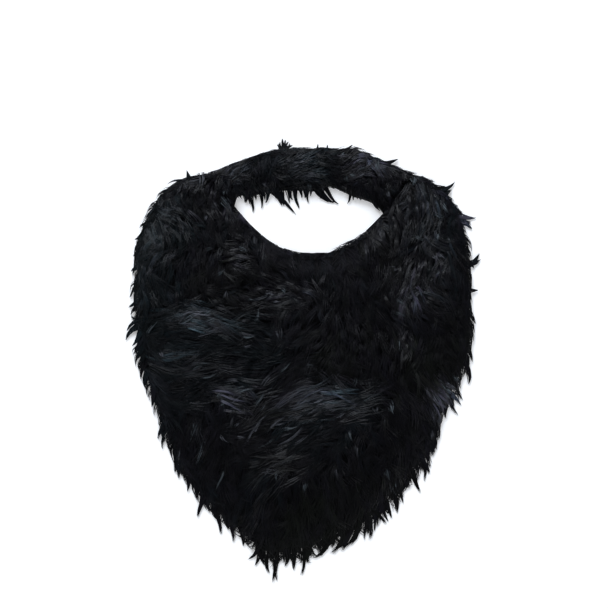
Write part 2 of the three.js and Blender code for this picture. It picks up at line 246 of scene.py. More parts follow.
def knitted_ground():
    """Polyester warp knit: matt black, with rows of small loops that catch a little light. Their colour is
    paler on the loops' tops, a painted highlight, and darker between them, a painted shade.
    """
    material, tree = new_material("Polyester warp knit")
    place = add_node(tree, "ShaderNodeTexCoord")
    loops = add_node(tree, "ShaderNodeTexWave", {
        "Vector": place.outputs["Object"], "Scale": WAVE_UNIT / WALE, "Distortion": 1.5,
        "Detail": 2.0, "Detail Scale": 3.0,
    }, wave_type="BANDS", bands_direction="X")
    rows = add_node(tree, "ShaderNodeTexWave", {
        "Vector": place.outputs["Object"], "Scale": WAVE_UNIT / COURSE, "Distortion": 2.0,
        "Detail": 2.0, "Detail Scale": 3.0,
    }, wave_type="BANDS", bands_direction="Y")
    height = add_node(tree, "ShaderNodeMath", {0: loops.outputs["Fac"], 1: rows.outputs["Fac"]},
                      operation="MULTIPLY")
    # Painted highlight on the loops' tops and painted shade between them, mixed by the loops' height.
    colour_with_painted_light = add_node(tree, "ShaderNodeMix", {
        "Factor": height.outputs[0], "A": linear("0b0c0e"), "B": linear("24262a"),
    }, data_type="RGBA")
    bump = add_node(tree, "ShaderNodeBump", {
        "Height": height.outputs[0], "Strength": 0.6, "Distance": 0.0004,
    })
    cloth = add_node(tree, "ShaderNodeBsdfPrincipled", {
        "Base Color": colour_with_painted_light.outputs["Result"], "Roughness": 0.9, "Normal": bump.outputs[0],
    })
    add_node(tree, "ShaderNodeOutputMaterial", {"Surface": cloth.outputs[0]})
    return material


def flat_area(outline):
    """Area inside a closed outline, by the shoelace sum. It is below zero if that runs with the clock."""
    x, y = outline.T
    return (np.dot(x, np.roll(y, -1)) - np.dot(y, np.roll(x, -1))) / 2


def closed_faces(rings, count):
    """Quads between neighbouring closed rings of points, and a cap on the first and on the last."""
    i, j = np.meshgrid(np.arange(rings - 1), np.arange(count), indexing="ij")
    a, b = i * count + j, i * count + (j + 1) % count
    quads = np.stack([a, b, b + count, a + count], -1).reshape(-1, 4).tolist()
    last = (rings - 1) * count
    return quads + [list(range(count))[::-1], list(range(last, last + count))]


def cloth_piece(name, shares, ring, node):
    """A closed sheet: rings of the cut outline, drawn in along the underside from its middle to the
    edge, round the edge, and back along the upper side. ring(share) gives the outline drawn in."""
    count = len(ring(1.0))
    below = [(s, 0.0) for s in shares]
    rounding = [(1.0, EDGE_ROUNDING), (1.0, CLOTH - EDGE_ROUNDING)]
    above = [(s, CLOTH) for s in shares[::-1]]
    points = np.vstack([
        np.column_stack([ring(s), np.full(count, z)]) for s, z in below + rounding + above
    ])
    faces = closed_faces(len(below) + len(rounding) + len(above), count)
    piece = mesh_piece(name, points, faces, ground, smooth=False)
    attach(piece, "root")
    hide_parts(node)


beard_around = beard_outline if flat_area(beard_outline) > 0 else beard_outline[::-1]


def beard_ring(share):
    """The beard's outline, against the clock so that its rings face up, drawn in towards the heart."""
    return HEART + (beard_around - HEART) * share


def strip_ring(share):
    """The strip's outline, drawn in towards its middle line and towards its middle."""
    t = np.linspace(-1, 1, EDGE_POINTS) * share
    middle = (arch(t) + crown(t)) / 2
    low, high = middle + (arch(t) - middle) * share, middle + (crown(t) - middle) * share
    return np.vstack([low, high[::-1]])


ground = knitted_ground()
LAST_RING = 0.997
NEAR_CORNERS = [0.92, 0.94, 0.96, 0.98, 0.99]     # the waves of the strip's cut are closest there
cloth_piece("beard_cloth", [0.2, 0.6, 0.9, LAST_RING], beard_ring, "beard_backing")
cloth_piece("mustache_cloth", [0.6, *NEAR_CORNERS, LAST_RING], strip_ring, "mustache_backing")


# Matted root pile
# Down at the roots the fibres are crowded and felted together into a dense dark mat, eight millimetres
# deep in the middle of the beard and thin at the cut edges. Nothing of the cloth shows through it.
GAP = 0.3                        # millimetres between the cloth and the mat
BASE = CLOTH + GAP
EDGE_PILE, BEARD_PILE, STRIP_PILE = 4, 13, 10
DROOP, TIP_HEIGHT = 12, 1.2        # how far out the pile reaches the table, and how high its tips stay
MAT_SHARE = 0.62                 # of the height of the combed pile
LUMP = 0.5                       # millimetres high, and 17 to 33 apart


def edge_distance(xy):
    """Distance from the heart to the cut edge along the ray through each place."""
    ray = xy - HEART
    edge = beard_around - HEART
    angle = np.arctan2(edge[:, 1], edge[:, 0])
    order = np.argsort(angle)
    return np.interp(np.arctan2(ray[..., 1], ray[..., 0]), angle[order],
                     np.linalg.norm(edge, axis=1)[order], period=2 * np.pi)


def outness(xy):
    """0 at the heart of the beard, 1 at its cut edge, more past it."""
    return np.linalg.norm(xy - HEART, axis=-1) / edge_distance(xy)


def drooping(past):
    """Past a cut edge the pile comes down to the table over a short way, as a falling parabola."""
    share = np.clip(1 - past / DROOP, 0, 1)
    return TIP_HEIGHT + (BASE + EDGE_PILE / 2 - TIP_HEIGHT) * share**2


def beard_pile(xy):
    """Top of the pile over the beard: a dome that thins with the cube of the outness."""
    s = outness(xy)
    inside = BASE + EDGE_PILE + (BEARD_PILE - EDGE_PILE) * (1 - np.clip(s, 0, 1)**3)
    return np.where(s < 1, inside, drooping((s - 1) * edge_distance(xy)))


def strip_edges(x):
    """How far right of the strip's middle each place is, and how high the strip's edges are there."""
    across = x - MOUTH_OFFSET
    low = arch(np.clip(across.ravel() / HALF_MOUTH, -1, 1))[:, 1].reshape(across.shape)
    high = crown(np.clip(across.ravel() / HALF_SPAN, -1, 1))[:, 1].reshape(across.shape)
    return across, low, high


def strip_pile(xy):
    """Top of the pile over the mustache: a ridge along the middle of the strip, that thins with the
    cube of the share of the way to an edge."""
    across, low, high = strip_edges(xy[..., 0])
    v = (xy[..., 1] - low) / (high - low)
    past = np.maximum(np.maximum(low - xy[..., 1], xy[..., 1] - high), np.abs(across) - HALF_SPAN)
    inside = BASE + EDGE_PILE + (STRIP_PILE - EDGE_PILE) * (1 - np.clip(np.abs(2 * v - 1), 0, 1)**3)
    return np.where(past < 0, inside, drooping(past))


def pile_top(xy):
    """Top of the combed pile anywhere on the piece."""
    return np.maximum(beard_pile(xy), strip_pile(xy))


FRINGE_DEPTH = np.array([
    # bearing from the heart in degrees from the right against the clock, depth in millimetres
    (59.8, 4.0), (61.2, 3.0), (61.5, 0.5), (64, 1.5), (67, 3.5), (79, 3.5), (84, 0.6), (113.9, 0.5),
    (114.3, 2.5), (117.5, 2.5), (122, 3.6), (127, 3), (131, 2.4), (136, 2.6), (140, 3.4), (153, 4),
    (168, 4.5), (172, 8), (178, 7), (184, 6), (190, 4.5), (197, 4), (203, 4.5), (209, 4), (214, 2.5),
    (223, 4.5), (236, 5.5), (243, 4.5), (250, 3.5), (257, 5), (262, 11), (266, 5.5), (269, 9), (274, 13),
    (279, 13), (284, 9), (289, 11), (296, 12.5), (300, 11), (306, 9.5), (311, 8.5), (320, 8.5), (326, 6),
    (335, 2), (341, 1), (343, 7), (349, 7), (352, 3), (357, 4), (365, 3), (374, 3.0), (381, 1), (385, 2),
    (390, 3.5), (396, 4), (402, 2), (407, 3), (413, 3.5),
])
STRIP_TOP_DEPTH = np.array([
    # the same along the mustache, by the place to the right: over its upper cut
    (-66, 0.8), (-50, 0.4), (-25, 0.6), (-19, 2.5), (-8, 2.5), (-2, 1), (25, 1), (32, 2.5), (44, 2.5),
    (54, 1.2), (75, 1.2),
])
STRIP_LOW_DEPTH = np.array([
    # and under its lower cut
    (-48, 0.5), (-43, 0.6), (-38, 2.2), (-30, 1.5), (-20, 3), (-10, 4.5), (0, 4.5), (4, 2.5), (8, 1),
    (13, 4), (16, 1), (26, 0.6), (32, 2), (38, 0.8), (56, 0.6),
])


def held_at_edge(xy, share):
    """Most fibres stop soon after the cut edge: past it, the way is divided by the cube root of one
    plus the cube of the way over the fringe's depth. share is each lock's own share of that depth."""
    ray = xy - HEART
    way = np.linalg.norm(ray, axis=-1)
    edge = edge_distance(xy)
    depth = np.interp(np.degrees(np.arctan2(ray[..., 1], ray[..., 0])) % 360, FRINGE_DEPTH[:, 0] % 360,
                      FRINGE_DEPTH[:, 1], period=360) * share
    past = np.maximum(way - edge, 0)
    held = edge + past / np.cbrt(1 + (past / depth)**3)
    return np.where((way > edge)[..., None], HEART + ray * (held / way)[..., None], xy)


def held_at_strip(xy, share):
    """The fibres of the mustache are held straight up and down: past an edge, the way becomes the
    depth there, times one less e to the power of minus the way over that depth."""
    across, low, high = strip_edges(xy[..., 0])
    over, under = np.maximum(xy[..., 1] - high, 0), np.maximum(low - xy[..., 1], 0)
    above = np.interp(xy[..., 0], *STRIP_TOP_DEPTH.T) * share
    below = np.interp(xy[..., 0], *STRIP_LOW_DEPTH.T) * share
    y = np.where(over > 0, high + above * (1 - np.exp(-over / above)), xy[..., 1])
    held = low - below * (1 - np.exp(-under / below))
    y = np.where((under > 0) & (np.abs(across) < HALF_MOUTH), held, y)
    return np.stack([xy[..., 0], y], -1)


def matted_pile():
    """Felted modacrylic roots: almost black, rough, with a fibrous grain a millimetre or so wide."""
    material, tree = new_material("Felted modacrylic roots")
    place = add_node(tree, "ShaderNodeTexCoord")
    stretch = add_node(tree, "ShaderNodeMapping", {
        "Vector": place.outputs["Object"], "Scale": (1.0, 0.25, 1.0),
    })
    grain = add_node(tree, "ShaderNodeTexNoise", {
        "Vector": stretch.outputs[0], "Scale": 1200.0, "Detail": 4.0,
    })
    ramp = add_node(tree, "ShaderNodeValToRGB", {"Fac": grain.outputs["Fac"]})
    for end, position, colour in zip(ramp.color_ramp.elements, (0.4, 0.75), ("08090a", "17181b")):
        end.position = position
        end.color = linear(colour)
    bump = add_node(tree, "ShaderNodeBump", {
        "Height": grain.outputs["Fac"], "Strength": 0.8, "Distance": 0.001,
    })
    felt = add_node(tree, "ShaderNodeBsdfPrincipled", {
        "Base Color": ramp.outputs[0], "Roughness": 0.85, "Specular IOR Level": 0.2,
        "Normal": bump.outputs[0],
    })
    add_node(tree, "ShaderNodeOutputMaterial", {"Surface": felt.outputs[0]})
    return material


def mat_piece(name, ring, below, shares, pile, node):
    """A closed mat: a flat underside in the rings below, a short wall at the cut edge, and a lumpy top
    in the rings of shares, at a share of the height of the combed pile there. The height is read
    just inside the ring, and the lumps level out at the edge."""
    count = len(ring(1.0))
    points = [np.column_stack([ring(s), np.full(count, BASE)]) for s in [*below, 1.0]]
    for s in shares[::-1]:
        xy = ring(s)
        lumps = LUMP * np.sin(xy[:, 0] / 3.1 + 2 * np.sin(xy[:, 1] / 5.3)) * np.cos(xy[:, 1] / 2.7)
        inward = HEART + (xy - HEART) * 0.995
        top = BASE + MAT_SHARE * (pile(inward) - BASE) + lumps * min(1, 8 * (1 - s))
        points.append(np.column_stack([xy, top]))
    piece = mesh_piece(name, np.vstack(points), closed_faces(len(points), count), felt)
    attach(piece, "root")
    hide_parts(node)


felt = matted_pile()
MAT_RINGS = list(np.linspace(0.05, 0.99, 26))
mat_piece("beard_root_mat", beard_ring, MAT_RINGS[::8], MAT_RINGS, beard_pile, "beard_fur")
STRIP_RINGS = [*np.linspace(0.1, 0.9, 10), *NEAR_CORNERS]
mat_piece("mustache_root_mat", strip_ring, [0.1, 0.6, *NEAR_CORNERS], STRIP_RINGS, strip_pile, "mustache_fur")


# Combed locks of the beard
# The pile is modacrylic fibre, about 40 mm long, glossy and slightly crimped. It has been combed and
# has then parted into pointed locks that lie over each other: flat and shining where it was brushed
# down, where a painted sheen also makes their colour paler, and dark where it stands. The table says
# how it lies at places chosen over the beard.


def combing_table(rows, *more):
    """Named columns of a table: place in millimetres right and down from the middle of the cheek
    tops, heading in degrees from the right against the clock, the bend from root to tip, length in
    millimetres, and lay, from 0 where it stands to 1 and over where it is brushed flat. Then any more."""
    names = ("right", "down", "heading", "bend", "length", "lay", *more)
    return dict(zip(names, np.array(rows, float).T))


combing = combing_table([
    # Left cheek
    (-114, 32, -95, 10, 20, 0.3), (-101, 12, -110, 20, 18, 0.4), (-81, 4, -125, 20, 16, 0.5),
    (-97, 27, -30, 60, 22, 0.5), (-81, 38, -45, -50, 24, 0.5), (-108, 45, -70, 40, 24, 0.5),
    (-74, 20, -100, 40, 22, 0.3), (-56, 21, -95, 0, 18, 0.5), (-63, 38, -80, 30, 25, 0.2),
    (-103, 58, -130, -20, 32, 0.6), (-113, 70, -95, 0, 28, 0.5), (-85, 58, -115, 20, 30, 0.2),
    (-61, 67, -120, 20, 28, 0.3), (-36, 54, -80, 20, 22, 0.4), (-43, 60, -8, 20, 26, 0.6),
    (-81, 81, -110, 10, 30, 0.1), (-101, 85, -70, 20, 32, 0.1), (-114, 90, -105, 0, 26, 0.5),
    # Under the lip
    (-29, 70, -60, 20, 28, 0.15), (4, 65, -90, 10, 24, 0.1), (38, 61, -75, -10, 26, 0.15),
    (53, 43, -65, 10, 24, 0.2), (-18, 85, 20, -60, 28, 0.6), (2, 81, -10, -60, 28, 0.6),
    (13, 88, -120, 40, 26, 0.4), (27, 85, -85, 10, 30, 0.1), (-52, 90, -25, 10, 36, 0.15),
    # First sweep, left
    (-106, 108, 55, -60, 24, 0.2), (-92, 99, 10, -25, 36, 0.7), (-75, 99, -8, -15, 38, 1.25),
    (-54, 103, -15, -10, 44, 0.65), (-34, 110, -15, 15, 42, 0.38), (-85, 110, 5, -10, 45, 0.2),
    (-58, 110, -5, -10, 45, 0.35), (-83, 121, -10, 10, 34, 0.05), (-56, 119, 0, 10, 40, 0.25),
    (-36, 132, -30, 10, 32, 0.05),
    # Second sweep, left
    (-112, 121, -35, 20, 36, 0.4), (-106, 132, -15, 25, 48, 0.45), (-85, 136, 3, 10, 50, 0.7),
    (-63, 133, 10, 10, 48, 0.45), (-41, 128, 15, 10, 36, 0.3), (-81, 144, 8, 5, 50, 0.4),
    (-58, 144, 15, 10, 44, 0.3), (-106, 148, -50, 20, 34, 0.3),
    # Middle
    (-18, 110, -110, 50, 26, 0.3), (-5, 108, -140, 40, 28, 0.3), (9, 121, -125, 40, 28, 0.35),
    (22, 119, -100, 40, 28, 0.3), (40, 117, -110, 50, 26, 0.35), (56, 110, -80, 30, 26, 0.3),
    (67, 121, -85, 10, 24, 0.5), (13, 137, -100, 10, 30, 0.05), (36, 139, -110, 10, 34, 0.1),
    # Right cheek
    (60, 7, -60, 20, 20, 0.4), (76, 11, -40, -60, 24, 0.5), (94, 20, -75, -50, 26, 0.85),
    (107, 32, -75, 0, 22, 0.3), (69, 25, -110, 40, 26, 0.7), (78, 29, -100, 20, 26, 0.4),
    (83, 38, -130, 60, 28, 0.5), (65, 47, -110, 30, 26, 0.5), (94, 54, -45, 50, 26, 0.55),
    (89, 63, -150, 90, 26, 0.6), (105, 63, -70, -40, 26, 0.65), (114, 61, -45, 20, 22, 0.3),
    (65, 63, -100, 20, 26, 0.42), (71, 76, -130, 20, 28, 0.62), (78, 88, -75, 40, 30, 1.0),
    (67, 88, -110, 30, 28, 0.7), (92, 92, -45, 20, 28, 0.5), (107, 90, -80, 10, 28, 0.25),
    (49, 90, -80, 40, 28, 0.25), (60, 103, -25, -30, 40, 0.45), (83, 108, -60, 10, 30, 0.2),
    (107, 117, -80, 10, 28, 0.1), (87, 126, -95, 10, 30, 0.2), (71, 135, -100, 10, 32, 0.15),
    (103, 137, -70, 10, 30, 0.25),
    # Tuft at the right edge
    (94, 150, -50, -10, 38, 0.9), (101, 157, -40, -20, 34, 1.0), (85, 159, -65, 10, 34, 0.4),
    # Middle sweep
    (-92, 157, 30, 10, 36, 0.35), (-74, 155, 25, 0, 38, 0.3), (-52, 153, -5, -30, 34, 0.95),
    (-36, 155, -30, -40, 26, 0.8), (-23, 144, 50, 10, 50, 0.4), (-5, 135, 45, 0, 46, 0.4),
    (-32, 161, 50, -20, 50, 0.45), (-63, 166, -110, 20, 36, 0.1), (-52, 173, 60, -20, 34, 0.25),
    (-5, 159, 25, -10, 50, 0.6), (9, 155, 15, -15, 46, 1.05), (24, 153, 0, -20, 44, 1.0),
    (38, 159, 25, -10, 50, 0.5), (22, 170, 25, 0, 48, 0.2), (49, 155, 15, -10, 36, 0.35),
    (-14, 170, 35, -10, 48, 0.35), (-34, 179, 30, 0, 50, 0.35), (-9, 184, 20, 0, 46, 0.35),
    (-27, 188, 18, 0, 40, 0.2), (4, 186, 25, 0, 42, 0.1),
    # Lower left
    (-97, 170, -70, 10, 34, 0.15), (-79, 179, -110, 40, 38, 0.4), (-70, 197, -120, 20, 40, 0.35),
    (-90, 200, -80, 10, 36, 0.3), (-54, 200, -100, 10, 34, 0.1), (-18, 204, -162, 10, 46, 0.5),
    (-5, 200, -160, 0, 44, 0.35), (-34, 209, -150, 20, 30, 0.4), (-20, 213, -85, 0, 24, 0.35),
    (15, 200, -110, 10, 34, 0.05),
    # Lower right
    (36, 190, -85, 20, 26, 0.4), (56, 173, -75, 10, 26, 0.4), (62, 168, -85, 10, 26, 0.4),
    (78, 184, -80, 10, 32, 0.15), (49, 202, -85, 10, 32, 0.15), (24, 213, -80, 0, 26, 0.35),
    (60, 213, -75, 0, 30, 0.35), (71, 202, -85, 0, 34, 0.3),
    # Chin
    (2, 217, -80, 0, 28, 0.35), (-56, 222, -65, 0, 32, 0.25), (-74, 217, -75, 0, 32, 0.2),
    (-34, 238, -105, 10, 34, 0.3), (4, 240, -90, 0, 34, 0.3), (31, 238, -95, 0, 34, 0.2),
    (45, 240, -80, 0, 30, 0.4), (-14, 260, -90, 0, 34, 0.05), (-27, 267, -85, 0, 34, 0.3),
    (9, 265, -75, 0, 30, 0.3),
])


def comb(xy, table):
    """How the pile lies at each place: the table's rows, weighed by one over fifty plus the fourth
    power of their distance. Headings are weighed as unit vectors."""
    spots = np.column_stack([table["right"], -table["down"]])
    far = np.linalg.norm(xy[:, None, :] - spots[None], axis=-1)
    weight = 1 / (far**4 + 50)
    weight /= weight.sum(axis=1, keepdims=True)
    angle = np.radians(table["heading"])
    heading = np.degrees(np.arctan2(weight @ np.sin(angle), weight @ np.cos(angle)))
    return heading, *(weight @ table[name] for name in ("bend", "length", "lay"))


ROOT_DEPTH = 5.5                 # millimetres that a lock starts below the top of the pile
ARCH, FLAT_ARCH = 2.4, 1.2       # how high it arches over it where it stands, and how much less where flat
SWELL_LENGTH = 15                # millimetres from one of its slow waves to the next
LOWEST = 0.5                     # nothing comes nearer to the table


def lock_fibres(rng, roots, heading, bend, length, lay, layer, fibres, spread, stations, fray=0.05,
                trim=(0.8, 1.05), gather=0.8, swell=0.0, hold=None):
    """Middle lines of the fibres of each lock, as an array of locks, fibres, stations and x, y, z.
    A lock's own line turns evenly by its bend and waves from side to side. It rises out of the mat
    as one less a power of the way still to go, so that it lies over the roots of the next, and
    arches a little. layer lifts all of it, and swell is the height of its slow waves. Its fibres
    start spread over a round patch and draw together towards the tip, by the share gather, fray
    turns each a little off, and trim bounds their lengths. hold keeps them from running far past a
    cut edge."""
    locks = len(roots)
    column = (locks, 1, 1)
    bend, lay, layer, spread, length = (v.reshape(column) for v in (bend, lay, layer, spread, length))
    phase = rng.uniform(0, 2 * np.pi, column)
    crimp = rng.uniform(0.08, 0.3, column)
    fray = np.maximum(fray + 0.08 * (1 - np.clip(lay, 0, 1)), 0.015)
    tip_curl = rng.uniform(-0.5, 2.5, column) * (1 - lay)
    angle = rng.uniform(0, 2 * np.pi, (locks, fibres, 1))
    radius = np.sqrt(rng.uniform(0, 1, (locks, fibres, 1)))
    reach = (1 - 1.5 * (1 - trim[0]) * radius**2) * rng.uniform(*trim, (locks, fibres, 1))
    s = np.linspace(0, 1, stations) * reach
    turn = np.radians(heading.reshape(column)) + np.radians(bend) * (s - 0.35)
    turn = turn + crimp * np.sin(5.5 * s + phase) + rng.normal(0, 1, (locks, fibres, 1)) * fray
    step = np.diff(s, axis=-1, prepend=0) * length
    draw = spread * (1 - gather * np.clip(s, 0, 1)**1.1)
    side, up = draw * radius * np.cos(angle), draw * radius * np.sin(angle)
    x = roots[:, 0].reshape(column) + np.cumsum(step * np.cos(turn), axis=-1) - side * np.sin(turn)
    y = roots[:, 1].reshape(column) + np.cumsum(step * np.sin(turn), axis=-1) + side * np.cos(turn)
    if hold is not None:
        x, y = np.moveaxis(hold(np.stack([x, y], -1), 0.5 + 0.9 * rng.uniform(0, 1, column)**1.5), -1, 0)
    top = pile_top(np.stack([x, y], -1))
    cover = np.clip((top - BASE) / (BEARD_PILE - EDGE_PILE), 0.2, 1)
    rise = -ROOT_DEPTH * np.clip(1 - s, 0, 1)**1.6 + (ARCH - FLAT_ARCH * lay) * np.sin(np.pi * s**0.8)
    rise = rise + swell * np.sin(2 * np.pi * s * length / SWELL_LENGTH + 3 * phase)
    z = top + cover * (rise + layer + tip_curl * s**3 + 0.5 * up)
    z = np.maximum(z, LOWEST + 0.5 * radius)
    return np.stack([x, y, z], -1)


def fibre_mesh(lines, width, taper_from):
    """Points and faces of closed three-sided fibres along their lines, one corner down: a ring of
    three points at each station but the last, which is one point. The width is even up to the share
    taper_from of the length, and then narrows towards 0.3 of itself."""
    n, k, _ = lines.shape
    way = np.gradient(lines, axis=1)
    way /= np.linalg.norm(way, axis=-1, keepdims=True) + 1e-9
    side = np.cross(way, [0.0, 0.0, 1.0])
    side /= np.linalg.norm(side, axis=-1, keepdims=True) + 1e-9
    up = np.cross(side, way)
    t = np.linspace(0, 1, k)[:-1]
    half = width[:, None] / 2 * np.where(t < taper_from, 1, 1 - 0.7 * (t - taper_from) / (1 - taper_from))
    turn = np.radians([30, 150, 270])
    rings = lines[:, :-1, None, :] + half[..., None, None] * (
        side[:, :-1, None, :] * np.cos(turn)[:, None] + up[:, :-1, None, :] * np.sin(turn)[:, None])
    points = np.concatenate([rings.reshape(n, -1, 3), lines[:, -1:, :]], axis=1).reshape(-1, 3)
    per = 3 * (k - 1) + 1
    c = np.arange(3)
    d = (c + 1) % 3
    bands = (3 * np.arange(k - 2))[:, None]
    quads = np.stack([bands + c, bands + 3 + c, bands + 3 + d, bands + d], -1).reshape(-1, 4)
    last = 3 * (k - 2)
    ends = np.vstack([np.stack([last + c, np.full(3, per - 1), last + d], -1), [[0, 1, 2]]])
    start = (per * np.arange(n))[:, None, None]
    return points, (quads[None] + start).reshape(-1, 4), (ends[None] + start).reshape(-1, 3)


def fibre_piece(name, lines, width, colour, material, node, taper_from=0.5):
    """One mesh of many fibres. colour gives each fibre's colour, its painted sheen included, which it
    has from 0.4 of its length on. Towards the root it darkens to 0.45 of that, a painted shade for the
    roots deep in the pile."""
    lines = lines.reshape(-1, *lines.shape[-2:])
    points, quads, triangles = fibre_mesh(lines, width, taper_from)
    mesh = bpy.data.meshes.new(name)
    mesh.vertices.add(len(points))
    mesh.vertices.foreach_set("co", in_frame(points).astype(np.float32).ravel())
    mesh.loops.add(quads.size + triangles.size)
    corners = np.concatenate([quads.ravel(), triangles.ravel()])
    mesh.loops.foreach_set("vertex_index", corners.astype(np.int32))
    mesh.polygons.add(len(quads) + len(triangles))
    start = np.concatenate([4 * np.arange(len(quads)), quads.size + 3 * np.arange(len(triangles))])
    mesh.polygons.foreach_set("loop_start", start.astype(np.int32))
    mesh.polygons.foreach_set("use_smooth", np.ones(len(start), bool))
    mesh.update(calc_edges=True)
    mesh.validate()
    n, k = lines.shape[:2]
    t = np.append(np.repeat(np.linspace(0, 1, k)[:-1], 3), 1.0)
    colour_with_painted_light = np.ones((n, 3 * (k - 1) + 1, 4), np.float32)
    # Painted shade: each fibre is darker towards its root, deep in the pile.
    colour_with_painted_light[..., :3] = colour[:, None, :] * (0.45 + 0.55 * np.clip(2.5 * t, 0, 1))[None, :, None]
    layer = mesh.color_attributes.new("fibre_colour_sheen_root_shade", "FLOAT_COLOR", "POINT")
    layer.data.foreach_set("color", colour_with_painted_light.ravel())
    mesh.materials.append(material)
    piece = bpy.data.objects.new(name, mesh)
    bpy.context.collection.objects.link(piece)
    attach(piece, "root")
    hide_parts(node)


def modacrylic(name, roughness, specular):
    """Black modacrylic fibre: smooth, so each one carries a line of light along its length."""
    material, tree = new_material(name)
    # The base colour read here carries each fibre's painted sheen and painted root shade.
    colour_with_painted_light = add_node(tree, "ShaderNodeAttribute", attribute_name="fibre_colour_sheen_root_shade")
    fibre = add_node(tree, "ShaderNodeBsdfPrincipled", {
        "Base Color": colour_with_painted_light.outputs["Color"], "Roughness": roughness, "IOR": 1.5,
        "Specular IOR Level": specular,
    })
    add_node(tree, "ShaderNodeOutputMaterial", {"Surface": fibre.outputs[0]})
    return material


# The second of these colours is a painted sheen: the flatter a lock lies, the more its fibres are made paler
# towards it, though the fibres are all one black.
DARK, PAINTED_SHEEN = np.array(linear("090a0b")[:3]), np.array(linear("4e5459")[:3])
TINTS = np.array([linear(c)[:3] for c in ("8099a1", "a594a9", "9c9d86")])     # teal, mauve, olive
TINTS = TINTS / TINTS.mean(axis=1, keepdims=True)
HUES = np.array([
    # place to the right and down; the hue there, from 0 teal by 1 mauve to 2 olive
    (-100, 40, 0), (-110, 100, 0), (-60, 20, 1), (-70, 100, 0.2), (-45, 125, 0), (-30, 0, 0.5),
    (0, -4, 0.2), (20, 0, 1), (50, 0, 0.9), (90, 30, 0.5), (75, 85, 0.9), (60, 50, 1.2), (-60, 70, 1.5),
    (0, 95, 0.8), (20, 120, 1.6), (90, 120, 1.7), (-30, 150, 1), (15, 155, 0.1), (-2, 158, 0.3),
    (-50, 180, 1.3), (-75, 190, 0.8), (0, 220, 2), (0, 250, 2), (50, 220, 1.5), (100, 155, 0.6),
    (70, 170, 1.2), (-20, 204, 0.2), (-100, 170, 0.4),
])


def fibre_colours_with_sheen(rng, roots, lay, fibres):
    """Colour of each fibre: dark, with a painted sheen that makes it paler the further its lock's lay is
    over 0.35, but by a random share cubed, so that few locks look shining. Its hue is that of the rows
    near its place, weighed by one over a hundred plus the third power of their distance."""
    far = np.linalg.norm(roots[:, None, :] - HUES[:, :2] * [1, -1], axis=-1)
    weight = 1 / (far**3 + 100)
    hue = weight @ HUES[:, 2] / weight.sum(axis=1) + rng.normal(0, 0.3, len(roots))
    tint = np.stack([np.interp(hue, [0, 1, 2], TINTS[:, i]) for i in range(3)], -1)[:, None, :]
    # Painted sheen: paler the further the lock's lay is over 0.35.
    flat = np.clip((lay - 0.35) / 0.65, 0, 1.4)**1.7 * 1.5 * rng.uniform(0, 1, len(lay))**3
    tone_and_sheen = np.clip(0.55 * flat + rng.normal(0.025, 0.025, len(lay)), 0, 1)[:, None]
    tone_and_sheen = np.clip(tone_and_sheen * rng.uniform(0.65, 1.3, (len(lay), fibres)), 0, 1)[..., None]
    return ((DARK + (PAINTED_SHEEN - DARK) * tone_and_sheen) * tint).reshape(-1, 3)


def scattered(rng, spacing, inside):
    """Places about one spacing apart: a hexagonal net, about 200 mm each way from the beard's middle,
    each knot moved by up to a third of the spacing."""
    reach = int(220 / spacing)
    i, j = np.meshgrid(np.arange(-reach, reach + 1), np.arange(-reach, reach + 1), indexing="ij")
    net = np.stack([spacing * (i + 0.5 * (j % 2)), spacing * 0.866 * j - BEARD_LENGTH / 2], -1).reshape(-1, 2)
    net = net + rng.uniform(-0.35, 0.35, net.shape) * spacing
    return net[inside(net)]


standing = modacrylic("Black modacrylic fibre, standing", 0.58, 0.09)
resting = modacrylic("Black modacrylic fibre, resting", 0.42, 0.15)
combed = modacrylic("Black modacrylic fibre, combed", 0.33, 0.42)


def finish_for(lay):
    """The more the pile is brushed flat, the more it shines."""
    return standing if lay < 0.22 else resting if lay < 0.5 else combed


def rooted_on_beard(xy, limit=0.985):
    """Places past a limit of the way from the heart to the cut edge are brought in to there."""
    return HEART + (xy - HEART) * np.minimum(1, limit / outness(xy))[:, None]


def combed_piece(name, rng, places, table, node, fibres, stations, spread, width, hold, rooted,
                 length_share=(0.75, 1.15), disorder=1.0, sunk=0.0, parts=1, sheen_gain=1.0, swell=0.35,
                 fray=0.035, gather=0.7, finish=None):
    """Locks combed as the table says at the places of their middles, with more disorder where the
    pile stands. Each is rooted about half its length before its place, on the cloth."""
    heading, bend, length, lay = comb(places, table)
    count = len(places)
    heading = heading + rng.normal(0, 1, count) * (24 - 17 * lay) * disorder
    bend = bend + rng.normal(0, 1, count) * (32 - 18 * lay)
    length = length * rng.uniform(*length_share, count)
    back = np.radians(heading - 0.3 * bend)
    roots = rooted(places - 0.55 * length[:, None] * np.stack([np.cos(back), np.sin(back)], -1))
    layer = rng.uniform(-0.7, 0.7, count) + 0.8 * lay - sunk
    lines = lock_fibres(rng, roots, heading, bend, length, lay, layer, fibres, rng.uniform(*spread, count),
                        stations, fray=fray, gather=gather, swell=swell, hold=hold)
    # The lay times its gain sets only how much painted sheen these fibres are given.
    sheen_colours = fibre_colours_with_sheen(rng, roots, lay * sheen_gain, fibres)
    widths = rng.uniform(*width, count * fibres)
    order = np.argsort(lay + rng.normal(0, 0.12, count)) if parts > 1 else np.arange(count)
    for number, part in enumerate(np.array_split(order, parts)):
        own = (part[:, None] * fibres + np.arange(fibres)).ravel()
        label = name if parts == 1 else f"{name}_{number + 1}"
        fibre_piece(label, lines[part], widths[own], sheen_colours[own],
                    finish or finish_for(lay[part].mean()), node)


def on_beard(limit):
    """A test for places on the beard's cloth, up to a limit of outness."""
    return lambda xy: outness(xy) < limit


